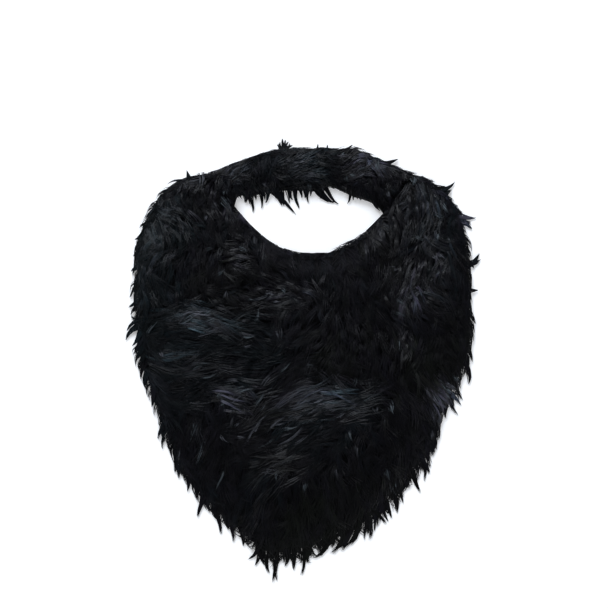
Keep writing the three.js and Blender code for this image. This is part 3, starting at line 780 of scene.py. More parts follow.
rng = np.random.default_rng(20)
places = scattered(rng, 4.1, on_beard(0.99))
combed_piece("beard_undercoat", rng, places, combing, "beard_fur", fibres=2, stations=4, spread=(1.0, 2.5),
             width=(0.5, 0.7), hold=held_at_edge, rooted=rooted_on_beard, length_share=(0.45, 0.7),
             disorder=1.6, sunk=2.2, finish=standing)
places = scattered(rng, 5.2, on_beard(1.03))
combed_piece("beard_locks", rng, places, combing, "beard_fur", fibres=11, stations=5, spread=(1.4, 3.0),
             width=(0.42, 0.62), hold=held_at_edge, rooted=rooted_on_beard, parts=4, sheen_gain=0.85)
flat_rows = combing["lay"] > 0.45
flat_places = np.column_stack([combing["right"], -combing["down"]])[flat_rows]
places = np.repeat(flat_places, 9, axis=0) + rng.normal(0, 5, (9 * flat_rows.sum(), 2))
places = places[outness(places) < 1.01]
combed_piece("beard_top_locks", rng, places, combing, "beard_fur", fibres=7, stations=7, spread=(0.5, 1.3),
             width=(0.4, 0.58), hold=held_at_edge, rooted=rooted_on_beard, sunk=-1.4, disorder=0.8,
             sheen_gain=1.2, swell=0.7, fray=0.02)

# Here and there a thin wisp lies right on top and catches the light along a part of its length. Its
# colour is made paler by a painted sheen, the more the flatter it lies. Each row gives where its tip
# lies, its heading there, bend and length, its lay, and its breadth.
wisps = combing_table([
    # Left cheek
    (-83, 27, -25, -15, 13, 0.5, 1.2), (-94, 22, 95, 50, 13, 0.5, 1.6), (-98, 33, -110, -20, 10, 0.7, 2.4),
    (-90, 37, -5, 0, 9, 0.4, 0.8), (-80, 43.5, -35, -20, 10, 0.7, 1.0), (-107, 46, 60, -20, 12, 0.5, 2.0),
    (-97, 56, 50, 20, 16, 0.8, 1.4), (-103, 64, 60, 10, 14, 0.5, 1.6), (-86, 56, 25, 0, 11, 0.4, 1.6),
    (-72, 13, -100, -20, 14, 0.7, 1.6), (-82, 5, -170, 20, 12, 0.7, 2.0), (-49, 29, -50, 20, 17, 0.6, 2.6),
    (-58, 29, -60, 20, 14, 0.4, 2.2), (-68, 35, -100, 0, 8, 0.6, 1.2), (-36, 57, -20, 20, 13, 0.8, 1.2),
    (-33, 60.5, -5, -10, 20, 0.8, 1.4), (-53, 66, 40, 10, 10, 0.5, 1.0), (-33, 53, -95, 0, 10, 0.4, 1.4),
    (-52, 81, 80, 0, 8, 0.5, 1.6), (-60, 53, 5, 0, 9, 0.3, 1.0),
    # Under the lip
    (-17, 84, -5, -10, 12, 1.0, 1.0), (-11, 85, -55, -20, 8, 0.8, 1.6), (-15, 89.5, 0, 0, 7, 0.9, 0.8),
    (-32, 88, 5, 0, 8, 0.4, 0.8),
    # First sweep, left
    (-62, 93, 5, -45, 32, 1.0, 1.0), (-66, 94, 15, -30, 28, 1.0, 1.2), (-59, 92.5, 35, -10, 16, 1.0, 1.0),
    (-70, 96, 20, -30, 20, 0.9, 1.8), (-51, 97, 15, -15, 36, 0.8, 0.9), (-56, 100, 25, 10, 30, 0.8, 0.9),
    (-48, 104, 15, -10, 36, 0.7, 1.8), (-42, 106, 5, -15, 36, 0.6, 1.6), (-46, 104, 20, 0, 24, 0.6, 1.4),
    (-28, 112, 10, 30, 26, 0.9, 1.0), (-30, 113, 5, 20, 16, 0.9, 0.7), (-31, 118, 20, 15, 16, 0.8, 0.8),
    (-40, 99.5, 80, -10, 8, 0.9, 0.9), (-29, 93, 80, 40, 14, 0.7, 1.0), (-101, 101, 55, -10, 16, 0.4, 0.8),
    (-82, 120, 75, -10, 11, 0.6, 1.4), (-69, 124, 30, 0, 9, 0.5, 0.9), (-16, 118, -75, 30, 13, 0.6, 2.6),
    # Second sweep, left
    (-86, 134, -15, 50, 18, 0.7, 1.2), (-97, 130, -60, 20, 9, 0.8, 1.4), (-60, 130, 5, -20, 28, 0.8, 0.8),
    (-67, 131, 20, 5, 18, 0.9, 0.9), (-82, 135, 10, 0, 18, 0.6, 0.9), (-57, 137, 20, 15, 24, 0.7, 0.9),
    (-65, 133, 30, 10, 18, 0.5, 0.8), (-42, 144, 0, -10, 13, 0.7, 1.0),
    # Middle sweep
    (-28, 148, 0, -40, 26, 0.9, 2.0), (-36, 150, 20, -20, 20, 0.9, 2.4), (-40, 154, 30, -10, 16, 0.7, 2.0),
    (-54, 149, 50, -30, 12, 0.7, 1.4), (-18, 137, 60, 25, 20, 0.7, 1.4), (-9, 130, 45, -10, 14, 0.65, 1.4),
    (-13, 152, 40, 10, 16, 0.5, 2.2), (-25, 159, 45, 0, 12, 0.8, 0.8), (-43, 171, 45, -10, 9, 0.7, 1.0),
    (-50, 188, -30, 30, 13, 0.5, 0.9), (-35, 183, 10, 20, 16, 0.5, 0.8), (-52, 157, 40, 10, 10, 0.7, 0.9),
    (28, 149, -10, -50, 38, 1.1, 0.8), (22, 149.5, 10, -25, 28, 1.1, 1.2), (30, 156, -5, -20, 28, 1.2, 1.0),
    (26, 152, 15, -20, 26, 1.0, 1.0), (10, 152, 35, -15, 20, 1.1, 1.4), (5, 154, 45, 0, 14, 1.1, 1.2),
    (18, 158, 20, -20, 24, 0.8, 1.2), (45, 157, 25, 10, 30, 0.9, 0.9), (53, 151, 40, 10, 24, 0.7, 0.8),
    (34, 161.5, 35, 20, 20, 1.0, 0.9), (28, 162, 10, -10, 16, 0.9, 0.9), (15, 173.5, 55, 0, 8, 0.7, 0.9),
    (-9, 171, 10, -20, 18, 0.9, 0.9), (-2, 174, 25, 10, 18, 0.7, 0.9), (-6, 179, 30, 10, 14, 0.5, 0.8),
    (2, 167, 30, 0, 14, 0.5, 0.8), (10, 131, 20, -10, 12, 0.4, 1.0), (-20, 165, 48, 0, 28, 0.6, 0.7),
    (-31, 173, 52, -10, 26, 0.6, 0.7), (-7, 163, 40, -10, 30, 0.6, 0.7), (3, 172, 34, -10, 34, 0.5, 0.8),
    (-14, 179, 30, 5, 30, 0.5, 0.7), (-44, 164, 60, -10, 20, 0.5, 0.7), (9, 178, 28, 0, 28, 0.5, 0.7),
    (-25, 148, 62, 0, 22, 0.6, 0.8), (13, 166, 30, 10, 26, 0.6, 0.7),
    # Lower left
    (-80, 190, -90, 40, 24, 0.7, 0.9), (-78, 208, -135, -50, 34, 0.7, 1.0),
    (-60, 224, -115, -20, 20, 0.4, 0.7), (-86, 205, -85, 10, 16, 0.4, 1.4), (-4, 196, 20, 0, 20, 0.7, 0.8),
    (-37, 207, -170, 40, 34, 0.9, 1.6), (-24, 205, -150, 20, 22, 0.9, 1.8),
    (-18, 217, -80, 20, 14, 0.8, 0.9), (-28, 211, -130, 0, 10, 0.5, 0.9), (1, 224, -90, 0, 14, 0.4, 1.2),
    # Lower right
    (24.5, 216, -75, 10, 15, 0.4, 0.9), (38.5, 200, -80, 0, 15, 0.4, 0.9), (34, 188, -85, 0, 13, 0.4, 0.8),
    (64, 169, -60, 10, 12, 0.7, 1.6), (57, 176, -85, 0, 10, 0.8, 1.0), (51, 168, -85, 0, 7, 0.8, 1.6),
    (61, 216, -70, 10, 16, 0.7, 1.8), (68, 228, -60, 10, 16, 0.7, 1.8), (68, 126, -80, 0, 13, 0.7, 1.6),
    (37, 140, 70, 0, 10, 0.4, 1.0),
    # Right cheek
    (92, 31, -80, 30, 12, 1.1, 1.4), (101, 30, 10, 60, 12, 1.0, 1.2), (103, 28, -60, -40, 12, 0.9, 1.4),
    (88, 69, -35, 30, 10, 1.1, 1.1), (95, 62, -40, 0, 10, 0.7, 0.9), (100, 61, -45, 0, 10, 0.9, 1.1),
    (99, 66, 60, 60, 14, 0.5, 0.9), (76, 10, -95, 0, 8, 1.0, 1.4), (83, 88, -25, 0, 16, 1.0, 1.2),
    (78, 89, -30, 0, 14, 0.9, 1.2), (84, 81, 40, 0, 12, 0.8, 1.4), (74, 92, -30, 0, 14, 0.7, 1.2),
    (76, 20, 20, -20, 14, 0.6, 2.0), (87, 48, -5, 50, 14, 0.5, 1.0), (94, 49, -88, 0, 9, 0.6, 0.9),
    (67, 67, 0, 0, 8, 0.4, 1.6), (74, 103, -30, 0, 16, 0.5, 1.0),
    # Tuft at the right edge
    (103, 160, -42, 0, 20, 1.2, 1.4), (108, 158, -45, -5, 20, 1.2, 1.4), (110, 154, -40, -10, 18, 1.1, 1.4),
    (98, 167, -62, -5, 20, 1.1, 1.4), (100, 163, -55, 0, 18, 1.0, 1.2), (112, 150, -50, -10, 14, 0.9, 1.2),
    (106, 163, -55, 0, 14, 1.0, 1.2), (95, 158, -50, 10, 12, 0.9, 1.2), (96, 182, -88, 0, 14, 0.7, 1.6),
    (92, 174, -80, 0, 14, 0.8, 1.8), (91, 190, -88, 0, 14, 0.6, 1.6),
    # More of the bright parts of the sweeps
    (-74, 93.5, 10, -30, 22, 0.8, 1.6), (-80, 97, 40, -20, 14, 0.6, 1.4), (-68, 98, 30, 0, 14, 0.7, 1.4),
    (-63, 102, 20, 0, 24, 0.6, 1.6), (-58, 106, 15, -10, 24, 0.6, 1.6), (14, 150, 15, -15, 18, 1.1, 1.8),
    (20, 154, 10, -15, 18, 1.2, 1.8), (25, 157, 5, -10, 16, 1.1, 1.6), (2, 157, 40, -10, 12, 1.1, 1.6),
    (38, 160, 25, 10, 20, 0.9, 1.4), (8, 151, 30, -15, 26, 1.2, 0.8), (16, 154.5, 20, -15, 28, 1.2, 0.8),
    (25, 158.5, 14, -10, 28, 1.2, 0.8), (12, 160, 26, 0, 24, 1.0, 0.8), (34, 155, 10, 5, 26, 1.1, 0.8),
    (-1, 149, 38, -10, 20, 1.0, 0.8), (-78, 95, 15, -25, 22, 1.2, 0.8), (-70, 97, 8, -20, 26, 1.2, 0.8),
    (-64, 100, 5, -15, 28, 1.1, 0.8), (-73, 102, 15, -10, 22, 1.1, 0.8), (-58, 96, 0, -20, 28, 1.0, 0.8),
    (79, 84, -35, 10, 16, 1.2, 0.8), (75, 88, -45, 0, 18, 1.1, 0.8), (84, 92, -30, 0, 16, 1.1, 0.8),
], "breadth")


def locks_to_tips(rng, table, fibres, spread, stations, layer, rooted, fray=-0.06, trim=(0.97, 1.06),
                  gather=0.95, swell=0.0, hold=None):
    """Locks that end where the table says. The root is found by walking the lock's own curve back, is
    brought onto the cloth by rooted, and the curve is then turned and stretched to reach the tip."""
    t = (np.arange(SPAN_STEPS) + 0.5) / SPAN_STEPS
    start = table["heading"] - 0.65 * table["bend"]
    turn = np.radians(start[:, None] + table["bend"][:, None] * (t - 0.35))
    walk = np.stack([np.cos(turn).mean(1), np.sin(turn).mean(1)], -1) * table["length"][:, None]
    ends = np.column_stack([table["right"], -table["down"]])
    roots = rooted(ends - walk)
    reach = ends - roots
    turned = np.arctan2(reach[:, 1], reach[:, 0]) - np.arctan2(walk[:, 1], walk[:, 0])
    length = table["length"] * np.linalg.norm(reach, axis=1) / np.linalg.norm(walk, axis=1)
    return roots, lock_fibres(rng, roots, start + np.degrees(turned), table["bend"], length, table["lay"],
                              np.full(len(roots), layer), fibres, spread * np.ones(len(roots)), stations,
                              fray=fray, trim=trim, gather=gather, swell=swell, hold=hold)


WISP_FIBRES = 9
WISP_SPREAD = 1.8                # millimetres from the middle of a wisp of breadth 1 to its side
# The wisps' paler colour is a painted sheen.
WISP_PAINTED_SHEEN = np.array(linear("606569")[:3])
wisping = modacrylic("Black modacrylic fibre, on top", 0.36, 0.28)


def wisp_colours_with_sheen(rng, lay):
    """A painted sheen: the paler, the flatter a wisp is combed, and each of its fibres differs from the
    next. A quarter of a tint, teal or mauve, is mixed in."""
    tone_and_sheen = lay[:, None] * rng.uniform(0.1, 1.2, (len(lay), WISP_FIBRES))
    tint = 0.25 * TINTS[rng.integers(0, 2, len(lay))][:, None, :] + 0.75
    return ((DARK + (WISP_PAINTED_SHEEN - DARK) * tone_and_sheen[..., None]) * tint).reshape(-1, 3)


def wisp_piece(name, rng, table, over, width, hold, node):
    """Wisps that end where the table says and lie over the pile by so many millimetres."""
    roots, lines = locks_to_tips(rng, table, WISP_FIBRES, WISP_SPREAD * table["breadth"], 7, over,
                                 lambda xy: xy, fray=-0.04, trim=(0.75, 1.0), gather=0.6, swell=0.25,
                                 hold=hold)
    widths = rng.uniform(*width, len(roots) * WISP_FIBRES)
    fibre_piece(name, lines, widths, wisp_colours_with_sheen(rng, table["lay"]), wisping, node)


wisp_piece("beard_wisps", rng, wisps, 1.5, (0.37, 0.55), held_at_edge, "beard_fur")


# Fringe at the beard's cut edge
# Locks rooted along the cut cover it and reach a little past it. They are short on the cheeks and
# along the lip, where the pile lies along the edge, and longer round the chin, where it hangs free.
FRINGE_STEP, CLOSE_STEP = 2.6, 2.4     # millimetres from one lock to the next
FULL_BEARING, FULL_REACH = 298, 37     # degrees: the fringe is fullest from the chin to the right
FRINGE_WIDTH = (0.38, 0.55)


def along(edge, step):
    """Places a step apart along an edge, with the edge's direction there."""
    way = np.linalg.norm(np.diff(edge, axis=0), axis=1).sum()
    places = smooth_through(edge, int(way / step))
    run = np.gradient(places, axis=0)
    return places, run / np.linalg.norm(run, axis=1, keepdims=True)


def edge_locks(rng, places, run, comb_share, edge_share, out_share, table):
    """Headings of locks at an edge: a blend of the combing, of the run of the edge and of the way out,
    and a little disorder."""
    heading, bend, _, lay = comb(places, table)
    heading = np.radians(heading)
    out = run[:, ::-1] * [1, -1]
    out = out * np.sign(((places - HEART) * out).sum(axis=1, keepdims=True))
    blend = comb_share * np.stack([np.cos(heading), np.sin(heading)], -1) + edge_share * run + out_share * out
    return np.degrees(np.arctan2(blend[:, 1], blend[:, 0])) + rng.normal(0, 12, len(places)), bend, lay


def close_fringe(name, rng, roots, heading, lay, hold, node):
    """Short locks of ten fibres that lie close along an edge, bent a little either way."""
    count = len(roots)
    lines = lock_fibres(rng, roots, heading, rng.normal(0, 10, count), rng.uniform(9, 15, count),
                        np.full(count, 0.7), rng.uniform(-1.5, 0, count), 10,
                        rng.uniform(1.4, 2.4, count), 5, hold=hold)
    widths = rng.uniform(*FRINGE_WIDTH, count * 10)
    fibre_piece(name, lines, widths, fibre_colours_with_sheen(rng, roots, lay, 10), resting, node)


places, run = along(outer_edge, FRINGE_STEP)
bearing = np.degrees(np.arctan2(*(places - HEART)[:, ::-1].T)) % 360
full = np.abs(bearing - FULL_BEARING) < FULL_REACH     # a second lock starts from each of these places
places, run, bearing = (np.concatenate([v, v[full]]) for v in (places, run, bearing))
outward = np.interp(bearing, [112, 140, 150, 188, 200], [0.42, 0.5, 1.1, 1.1, 0.42])[:, None]
heading, bend, lay = edge_locks(rng, places, run, 0.7, 0, outward, combing)
roots = HEART + (places - HEART) * rng.uniform(0.965, 0.992, (len(places), 1))
count = len(roots)
low_down = np.clip((-roots[:, 1] - 120) / 120, 0, 1)
length = (12 + 14 * low_down) * rng.uniform(0.6, 1.35, count)     # twice as long at the chin
lines = lock_fibres(rng, roots, heading, bend * 0.5, length, np.full(count, 0.8),
                    rng.uniform(-1.5, 0.5, count), 9, rng.uniform(1.2, 2.4, count), 5, hold=held_at_edge)
fibre_piece("beard_fringe", lines, rng.uniform(*FRINGE_WIDTH, count * 9),
            fibre_colours_with_sheen(rng, roots, lay, 9), resting, "beard_fur")

# Along the lip the locks run from the corners to its middle, and stand up a little right of that.
places, run = along(lip(np.linspace(-1, 1, EDGE_POINTS)), CLOSE_STEP)
run *= np.where(places[:, :1] > MOUTH_OFFSET, -1, 1)
upward = np.interp(places[:, :1], [6, 14, 42, 46], [0.03, 0.3, 0.3, 0.03])
heading, _, lay = edge_locks(rng, places, run, 0.15, 1.0, upward, combing)
roots = HEART + (places - HEART) * rng.uniform(0.972, 0.99, (len(places), 1))
# The lay is raised by 0.25 here only to give these locks more painted sheen.
close_fringe("lip_fringe", rng, roots, heading, lay + 0.25, held_at_edge, "beard_fur")

# The longest locks of the fringe stand out one by one. Each row gives where a lock's tip lies and
# where it comes from: heading there, bend on the way and length.
tips = combing_table([
    # Beside the mouth's corners
    (-47, 18, 10, 0, 12, 0.5), (-47.5, 21, -5, 0, 12, 0.5), (-47.5, 24, -20, 0, 12, 0.5),
    (-46, 28, -30, 0, 12, 0.5), (55.5, 28, -150, 0, 10, 0.3),
    # Cheek tops and left side
    (-81, -2.5, 100, 10, 12, 0.2), (-118, 46, -120, -20, 14, 0.3), (-119.5, 57, -115, 20, 12, 0.3),
    (-120.5, 68, -110, 20, 12, 0.3), (-122.5, 86, -112, 30, 18, 0.3), (-122.5, 92.5, -150, 30, 14, 0.3),
    (-120.5, 99, -110, 20, 14, 0.3), (-124.5, 109, -140, 40, 18, 0.3), (-125, 116, -128, 30, 20, 0.3),
    (-118.5, 125, -105, 10, 16, 0.3), (-120, 120, -115, 10, 16, 0.3), (-117.5, 131, -100, 10, 16, 0.3),
    (-115.5, 137, -95, 10, 16, 0.3), (-113, 143, -80, 10, 16, 0.3), (-110.5, 150, -65, 10, 16, 0.3),
    (-106, 163, -88, 0, 18, 0.2),
    # Lower left
    (-101, 186, -88, 0, 18, 0.2), (-98, 192.5, -85, 5, 20, 0.2), (-90, 209, -82, 5, 20, 0.2),
    (-88, 213.5, -78, 5, 16, 0.2), (-82, 222.5, -88, 5, 20, 0.2), (-75, 228, -85, 0, 16, 0.2),
    (-73.5, 240.5, -95, -10, 22, 0.2), (-65, 237, -75, 0, 14, 0.2), (-58, 252.5, -75, 5, 20, 0.2),
    (-52, 249, -78, 5, 14, 0.2), (-48.5, 257.5, -95, -15, 18, 0.2), (-41.5, 260.5, -95, -15, 16, 0.2),
    (-38, 271, -130, -40, 20, 0.2), (-33, 274.5, -120, -25, 16, 0.2), (-26, 274, -70, 0, 16, 0.2),
    (-23, 280, -75, 0, 18, 0.2), (-21, 285.5, -88, -5, 22, 0.2), (-17, 284.5, -78, -5, 22, 0.2),
    (-13, 275, -110, -10, 16, 0.2), (-6.5, 277.5, -90, -10, 18, 0.2), (-1, 280.5, -105, -10, 20, 0.2),
    (3, 272.5, -115, -10, 16, 0.2),
    # Lower right
    (10, 270, -150, -70, 26, 0.2), (14, 264.5, -98, -5, 22, 0.2), (20, 262, -96, -5, 22, 0.2),
    (26.5, 259.5, -96, -5, 22, 0.2), (16, 267.5, -140, -60, 26, 0.2), (22, 268, -140, -60, 30, 0.2),
    (27, 263, -115, -30, 26, 0.2), (32.5, 262, -125, -40, 30, 0.2), (37, 257, -105, -20, 26, 0.2),
    (30, 265, -125, -40, 30, 0.2), (25, 266, -140, -60, 30, 0.2), (34, 260, -120, -30, 28, 0.2),
    (41, 251, -95, -10, 26, 0.2), (43, 256.5, -88, -5, 30, 0.2), (44.5, 253, -90, -5, 28, 0.2),
    (46.5, 250.5, -90, -5, 26, 0.2), (46.5, 256, -100, -10, 30, 0.2), (51, 250.5, -95, -10, 28, 0.2),
    (57.5, 246, -55, 20, 24, 0.2), (60, 243.5, -65, 10, 24, 0.2), (57.5, 241, -70, 10, 24, 0.2),
    (61.5, 241.5, -80, 0, 24, 0.2), (65.5, 237.5, -85, 0, 24, 0.2), (70, 230.5, -85, -5, 24, 0.2),
    (81, 223, -60, 20, 26, 0.2), (77, 217, -75, 0, 24, 0.2), (84, 215.5, -85, 0, 26, 0.2),
    (87.5, 211, -70, 10, 26, 0.2), (89.5, 202, -85, 5, 24, 0.2), (92.5, 196, -88, 5, 22, 0.2),
    (94.5, 193, -80, 0, 22, 0.2), (99.5, 171, -80, 10, 18, 0.5),
    # Tuft at the right edge
    (106, 164, -65, -5, 26, 1.0), (110, 168, -58, -10, 30, 0.9), (111, 162, -50, -15, 28, 1.0),
    (113, 158, -65, -10, 26, 0.8), (116.5, 147.5, -95, -35, 24, 0.4), (116.5, 141, -85, -20, 18, 0.2),
    (118.5, 131.5, -80, -10, 18, 0.2),
    # Right side
    (120.5, 105, -80, 0, 18, 0.2), (122.5, 82, 10, 30, 12, 0.2), (124.5, 61, 40, 45, 16, 0.2),
    (125, 56, 45, 45, 14, 0.2), (120, 66, -60, -10, 14, 0.2), (118.5, 38.5, -50, -20, 16, 1.1),
    (121, 31.5, 5, 35, 20, 1.0), (118, 33.5, -20, 10, 16, 1.1), (117.5, 36, -40, 10, 16, 1.1),
    (118, 39, -50, 0, 18, 1.1), (112, 28, -30, 10, 14, 0.4), (104.5, 12, 40, 40, 12, 0.2),
    (107, 6.5, 25, 40, 14, 0.2), (100, 9, -5, 20, 12, 0.2),
])


def pointed_locks(name, rng, table, fibres, spread, width, rooted, node):
    """Locks that end in a point where the table says, a millimetre under the top of the pile."""
    roots, lines = locks_to_tips(rng, table, fibres, spread, 6, -1.0, rooted)
    widths = rng.uniform(*width, len(roots) * fibres)
    sheen_colours = fibre_colours_with_sheen(rng, roots, table["lay"], fibres)
    fibre_piece(name, lines, widths, sheen_colours, standing, node, taper_from=0.7)


pointed_locks("beard_edge_locks", rng, tips, 16, 3.4, (0.6, 0.85), lambda xy: rooted_on_beard(xy, 0.96),
              "beard_fur")


# Pile of the mustache
# The strip carries the same pile, brushed across it. It lies flat in the middle and at the right,
# where a painted sheen makes it paler. Pointed locks hang from its lower edge into the mouth.
strip_combing = combing_table([
    (-62, 6, -120, 20, 20, 0.3), (-50, 2, 35, 20, 20, 0.7), (-42, -4, 30, 20, 22, 0.7),
    (-52, 14, -100, 10, 18, 0.2), (-32, -6, -100, 20, 20, 0.2), (-28, 6, -95, 10, 18, 0.2),
    (-20, -10, -80, 20, 18, 0.2), (-12, -14, 20, 20, 16, 0.3), (-8, -6, 15, 20, 26, 0.48),
    (-6, 2, 0, -20, 26, 0.4), (6, 2, 0, 10, 26, 0.85), (8, -9, 25, 20, 24, 0.8), (-14, 8, -60, 20, 20, 0.3),
    (4, 8, -60, 20, 20, 0.4), (18, -12, -20, 20, 20, 0.2), (22, 0, -60, 20, 20, 0.15),
    (30, -12, 40, -20, 20, 0.7), (34, 2, 50, -30, 22, 0.75), (44, -4, 30, 40, 22, 1.2),
    (52, -8, -70, 20, 20, 0.95), (40, 12, -80, 20, 18, 0.15), (52, 8, -90, 20, 18, 0.15),
    (62, 6, -60, 20, 18, 0.3), (70, 2, -40, 20, 16, 0.5),
])


def rooted_on_strip(xy):
    """Places off the strip are brought two millimetres inside its edges. Past the mouth's corners its
    lower edge is the seam, which rises by 1.2 for each millimetre."""
    across = np.clip(xy[:, 0] - MOUTH_OFFSET, 2 - HALF_SPAN, HALF_SPAN - 2)
    seam_rise = np.clip(np.abs(across) - HALF_MOUTH, 0, None) * 1.2
    low = arch(np.clip(across / HALF_MOUTH, -1, 1))[:, 1] + seam_rise
    high = np.maximum(crown(across / HALF_SPAN)[:, 1] - 2, low)
    return np.column_stack([MOUTH_OFFSET + across, np.clip(xy[:, 1], np.minimum(low + 2, high), high)])


def on_strip(xy):
    """A test for places on the mustache's cloth, a millimetre inside its cut edge and its seams."""
    across, low, high = strip_edges(xy[:, 0])
    across = np.abs(across)
    seam = -CORNER_DEPTH + (across - HALF_MOUTH) / (HALF_SPAN - HALF_MOUTH) * CORNER_DEPTH
    low = np.where(across > HALF_MOUTH, np.maximum(low, seam), low)
    return (xy[:, 1] > low + 1) & (xy[:, 1] < high - 1) & (across < HALF_SPAN - 1)


places = scattered(rng, 3.1, on_strip)
combed_piece("mustache_undercoat", rng, places, strip_combing, "mustache_fur", fibres=3, stations=4,
             spread=(1.0, 2.5), width=(0.5, 0.7), hold=held_at_strip, rooted=rooted_on_strip,
             length_share=(0.45, 0.7), disorder=1.4, sunk=1.5, finish=standing)
places = scattered(rng, 3.9, on_strip)
combed_piece("mustache_locks", rng, places, strip_combing, "mustache_fur", fibres=9, stations=5,
             spread=(1.2, 2.6), width=(0.4, 0.58), hold=held_at_strip, rooted=rooted_on_strip, parts=2,
             disorder=0.7, fray=0.06, gather=0.55)

# Along the upper edge they run from its middle to its ends.
places, run = along(crown(np.linspace(-1, 1, 60)), CLOSE_STEP)
run *= np.where(places[:, :1] > MOUTH_OFFSET, 1, -1)
heading, _, lay = edge_locks(rng, places, run, 0.15, 1.0, 0.05, strip_combing)
roots = places - [0, 1] * rng.uniform(1.0, 3.0, (len(places), 1))
close_fringe("mustache_upper_fringe", rng, roots, heading, lay, held_at_strip, "mustache_fur")

# The hanging locks, by their tips, and the few that stand up at the top.
hanging = combing_table([
    (-41, 20.5, -80, 10, 12, 0.2), (-37.5, 21.5, -70, 20, 12, 0.2), (-34.8, 27, -92, -10, 17, 0.2),
    (-47.5, 18, -40, 0, 10, 0.2), (-46, 17, -60, 0, 10, 0.2), (-44.5, 17, -70, 0, 10, 0.2),
    (-42.5, 17.5, -70, 0, 10, 0.2), (-39.5, 20.5, -85, 0, 12, 0.2), (-36.5, 19, -90, 0, 12, 0.2),
    (-32.8, 18.5, -95, -10, 12, 0.2), (-27, 18.5, -90, 0, 12, 0.2), (-24, 16.5, -90, 0, 12, 0.2),
    (-18.5, 17.5, -75, 0, 12, 0.2), (-16.5, 19.5, -70, 0, 14, 0.2), (-13.5, 22.5, -65, 5, 14, 0.2),
    (-12, 21.5, -70, 5, 14, 0.2), (-5, 17.5, -80, 0, 12, 0.3), (-1, 17, -85, 0, 12, 0.3),
    (2.5, 17, -90, 0, 12, 0.3), (5.5, 16, -95, 0, 12, 0.3), (-28.8, 24, -95, -15, 15, 0.2),
    (-26, 20.5, -120, -25, 13, 0.2), (-20, 17, -60, 20, 13, 0.2), (-15, 22.5, -60, 20, 16, 0.2),
    (-11, 24, -50, 20, 18, 0.3), (-5, 28.3, -38, 5, 25, 0.3), (-9.5, 20.5, -80, 0, 12, 0.3),
    (-7, 18.5, -70, 10, 12, 0.3), (-2.6, 24, -75, 5, 15, 0.3), (1, 17, -85, 0, 12, 0.3),
    (4, 20.5, -85, 5, 14, 0.3), (12, 17.5, -70, 10, 12, 0.3), (14.3, 19, -40, 40, 12, 0.4),
    (17, 20.2, -30, 45, 14, 0.4), (19.5, 20.9, -26, 50, 16, 0.5), (22, 21.2, -28, 48, 18, 0.5),
    (24.5, 21.3, -36, 34, 19, 0.5), (22, 11, -40, 10, 12, 0.2), (31.2, 21, -110, -15, 14, 0.2),
    (35, 18.5, -80, 0, 12, 0.2), (38, 18, -80, 0, 12, 0.2), (41, 18.5, -75, 0, 12, 0.2),
    (44, 19, -70, 0, 12, 0.2), (46.5, 20, -65, 0, 12, 0.2), (49, 22, -60, 0, 12, 0.2),
    (51.5, 24, -60, 0, 12, 0.2), (54, 26, -60, 0, 12, 0.2), (-14, -25, 88, 5, 12, 0.2),
    (-15.5, -23, 98, 5, 12, 0.2), (-12.5, -24, 75, 5, 12, 0.2), (-18.5, -20.5, 120, 5, 12, 0.2),
    (-17, -21.5, 110, 5, 12, 0.2), (-10, -22.5, 60, 5, 12, 0.2), (-12, -23.5, 80, 5, 12, 0.2),
    (-9, -21.5, 60, 5, 12, 0.2), (-7, -20.5, 40, 5, 12, 0.2), (10.5, -20.5, 85, 10, 10, 0.2),
    (16.5, -20.5, 85, -10, 10, 0.2), (35, -20.5, 25, 10, 14, 0.2), (67, -9, 20, 30, 14, 0.2),
])
pointed_locks("mustache_hanging_locks", rng, hanging, 15, 2.1, (0.55, 0.8), rooted_on_strip, "mustache_fur")

# Its wisps, as on the beard.
strip_wisps = combing_table([
    (-38, -7, 50, 10, 16, 0.8, 2.6), (-43, -2, 45, 10, 12, 0.9, 2.4), (-47, -1, 60, 10, 8, 0.7, 2.0),
    (1, -3, 15, -20, 14, 0.6, 2.6), (-3, 0, 10, -20, 10, 0.6, 2.6), (6, -9.5, 25, 10, 13, 0.7, 2.2),
    (0, -7, 15, -10, 10, 0.7, 2.0), (12, 2, -5, -10, 14, 0.6, 1.6), (8, 1, 0, 0, 12, 0.6, 1.4),
    (30.5, -15.5, 55, 0, 8, 1.0, 1.0), (47, -4, 20, -20, 13, 1.0, 1.6), (44, -1, 25, -10, 10, 0.8, 1.6),
    (52, -11, 92, 0, 11, 0.9, 1.4), (51, -8, 88, 0, 9, 0.9, 1.2), (38, 5, -40, 0, 9, 0.6, 1.6),
    (32, 9, -75, 0, 9, 0.6, 1.2), (63, -4.5, -15, -20, 11, 0.9, 1.2), (-24, 11, -45, 0, 7, 0.5, 1.2),
    (22, 19, -50, 10, 14, 0.7, 1.4), (5, 14, -80, 10, 8, 0.6, 1.2), (-6, -9, 10, 0, 9, 0.5, 1.4),
    (46, -8, 10, 0, 9, 0.5, 1.2), (-54, 18, -95, 0, 8, 0.6, 1.4), (59.5, 20, -88, 0, 10, 0.8, 1.4),
], "breadth")
wisp_piece("mustache_wisps", rng, strip_wisps, 1.2, (0.32, 0.5), held_at_strip, "mustache_fur")


# Seam stitches
# The ends of the strip butt the cheeks and are joined to them by a zigzag of black polyester thread,
# on both sides of the cloth. The pile hides the upper one, and the back shows the other.
THREAD = 0.3                    # millimetres thick
TWIST = 0.6                     # millimetres from one twist of it to the next
ZIGZAG_WIDTH, STITCH = 4.0, 1.6
SHARPNESS = 0.97                 # of the zigzag's turns: 1 would be corners


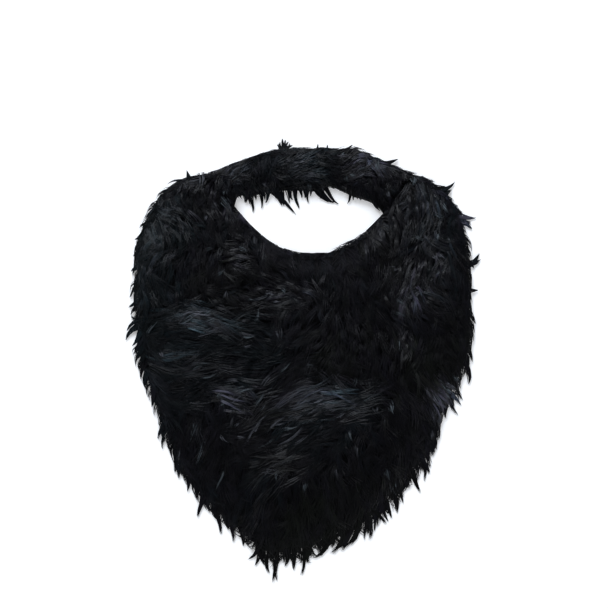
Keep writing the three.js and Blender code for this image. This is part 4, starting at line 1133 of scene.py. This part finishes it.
def spun_thread():
    """Spun polyester sewing thread: black, hardly glossy, and twisted. A diagonal wave texture turns half as
    fast along each axis as one in bands."""
    material, tree = new_material("Spun polyester thread")
    place = add_node(tree, "ShaderNodeTexCoord")
    twist = add_node(tree, "ShaderNodeTexWave", {
        "Vector": place.outputs["Object"], "Scale": 2 * WAVE_UNIT / TWIST, "Distortion": 1.0,
    }, wave_type="BANDS", bands_direction="DIAGONAL")
    bump = add_node(tree, "ShaderNodeBump", {
        "Height": twist.outputs["Fac"], "Strength": 0.5, "Distance": 0.0001,
    })
    thread = add_node(tree, "ShaderNodeBsdfPrincipled", {
        "Base Color": linear("17181b"), "Roughness": 0.6, "Normal": bump.outputs[0],
    })
    add_node(tree, "ShaderNodeOutputMaterial", {"Surface": thread.outputs[0]})
    return material


def tube(path, radius, sides=5):
    """A closed tube: at each point of the path a ring square to the way there, and a cap at each end."""
    way = np.gradient(path, axis=0)
    way /= np.linalg.norm(way, axis=1, keepdims=True)
    side = np.cross(way, [0.0, 0.0, 1.0])
    side /= np.linalg.norm(side, axis=1, keepdims=True)
    up = np.cross(side, way)
    turn = 2 * np.pi * np.arange(sides)[:, None] / sides
    rings = path[:, None, :] + radius * (side[:, None, :] * np.cos(turn) + up[:, None, :] * np.sin(turn))
    return rings.reshape(-1, 3), closed_faces(len(path), sides)


def zigzag(top, corner, height):
    """Straight stitches from one side of the seam to the other, with rounded turns: a triangle wave,
    as the arcsine of a sine, from a millimetre below the top of the seam to one above its corner."""
    run = (corner - top) / np.linalg.norm(corner - top)
    length = np.linalg.norm(corner - top) - 2
    t = np.linspace(0, length, int(length / STITCH) * 6 + 1)
    wave = np.arcsin(SHARPNESS * np.sin(np.pi * t / STITCH)) / np.arcsin(SHARPNESS)
    across = np.array([-run[1], run[0]])
    flat = top + run * (t + 1)[:, None] + across * (ZIGZAG_WIDTH / 2 * wave)[:, None]
    return np.column_stack([flat, np.full(len(t), height)])


thread = spun_thread()
points, faces = [], []
for end in (np.array([-1.0]), np.array([1.0])):
    for height in (0.0, CLOTH):
        first = sum(map(len, points))
        tube_points, tube_faces = tube(zigzag(crown(end)[0], lip(end)[0], height), THREAD / 2)
        faces += [[first + i for i in face] for face in tube_faces]
        points.append(tube_points)
stitches = mesh_piece("seam_stitches", np.vstack(points), faces, thread)
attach(stitches, "root")
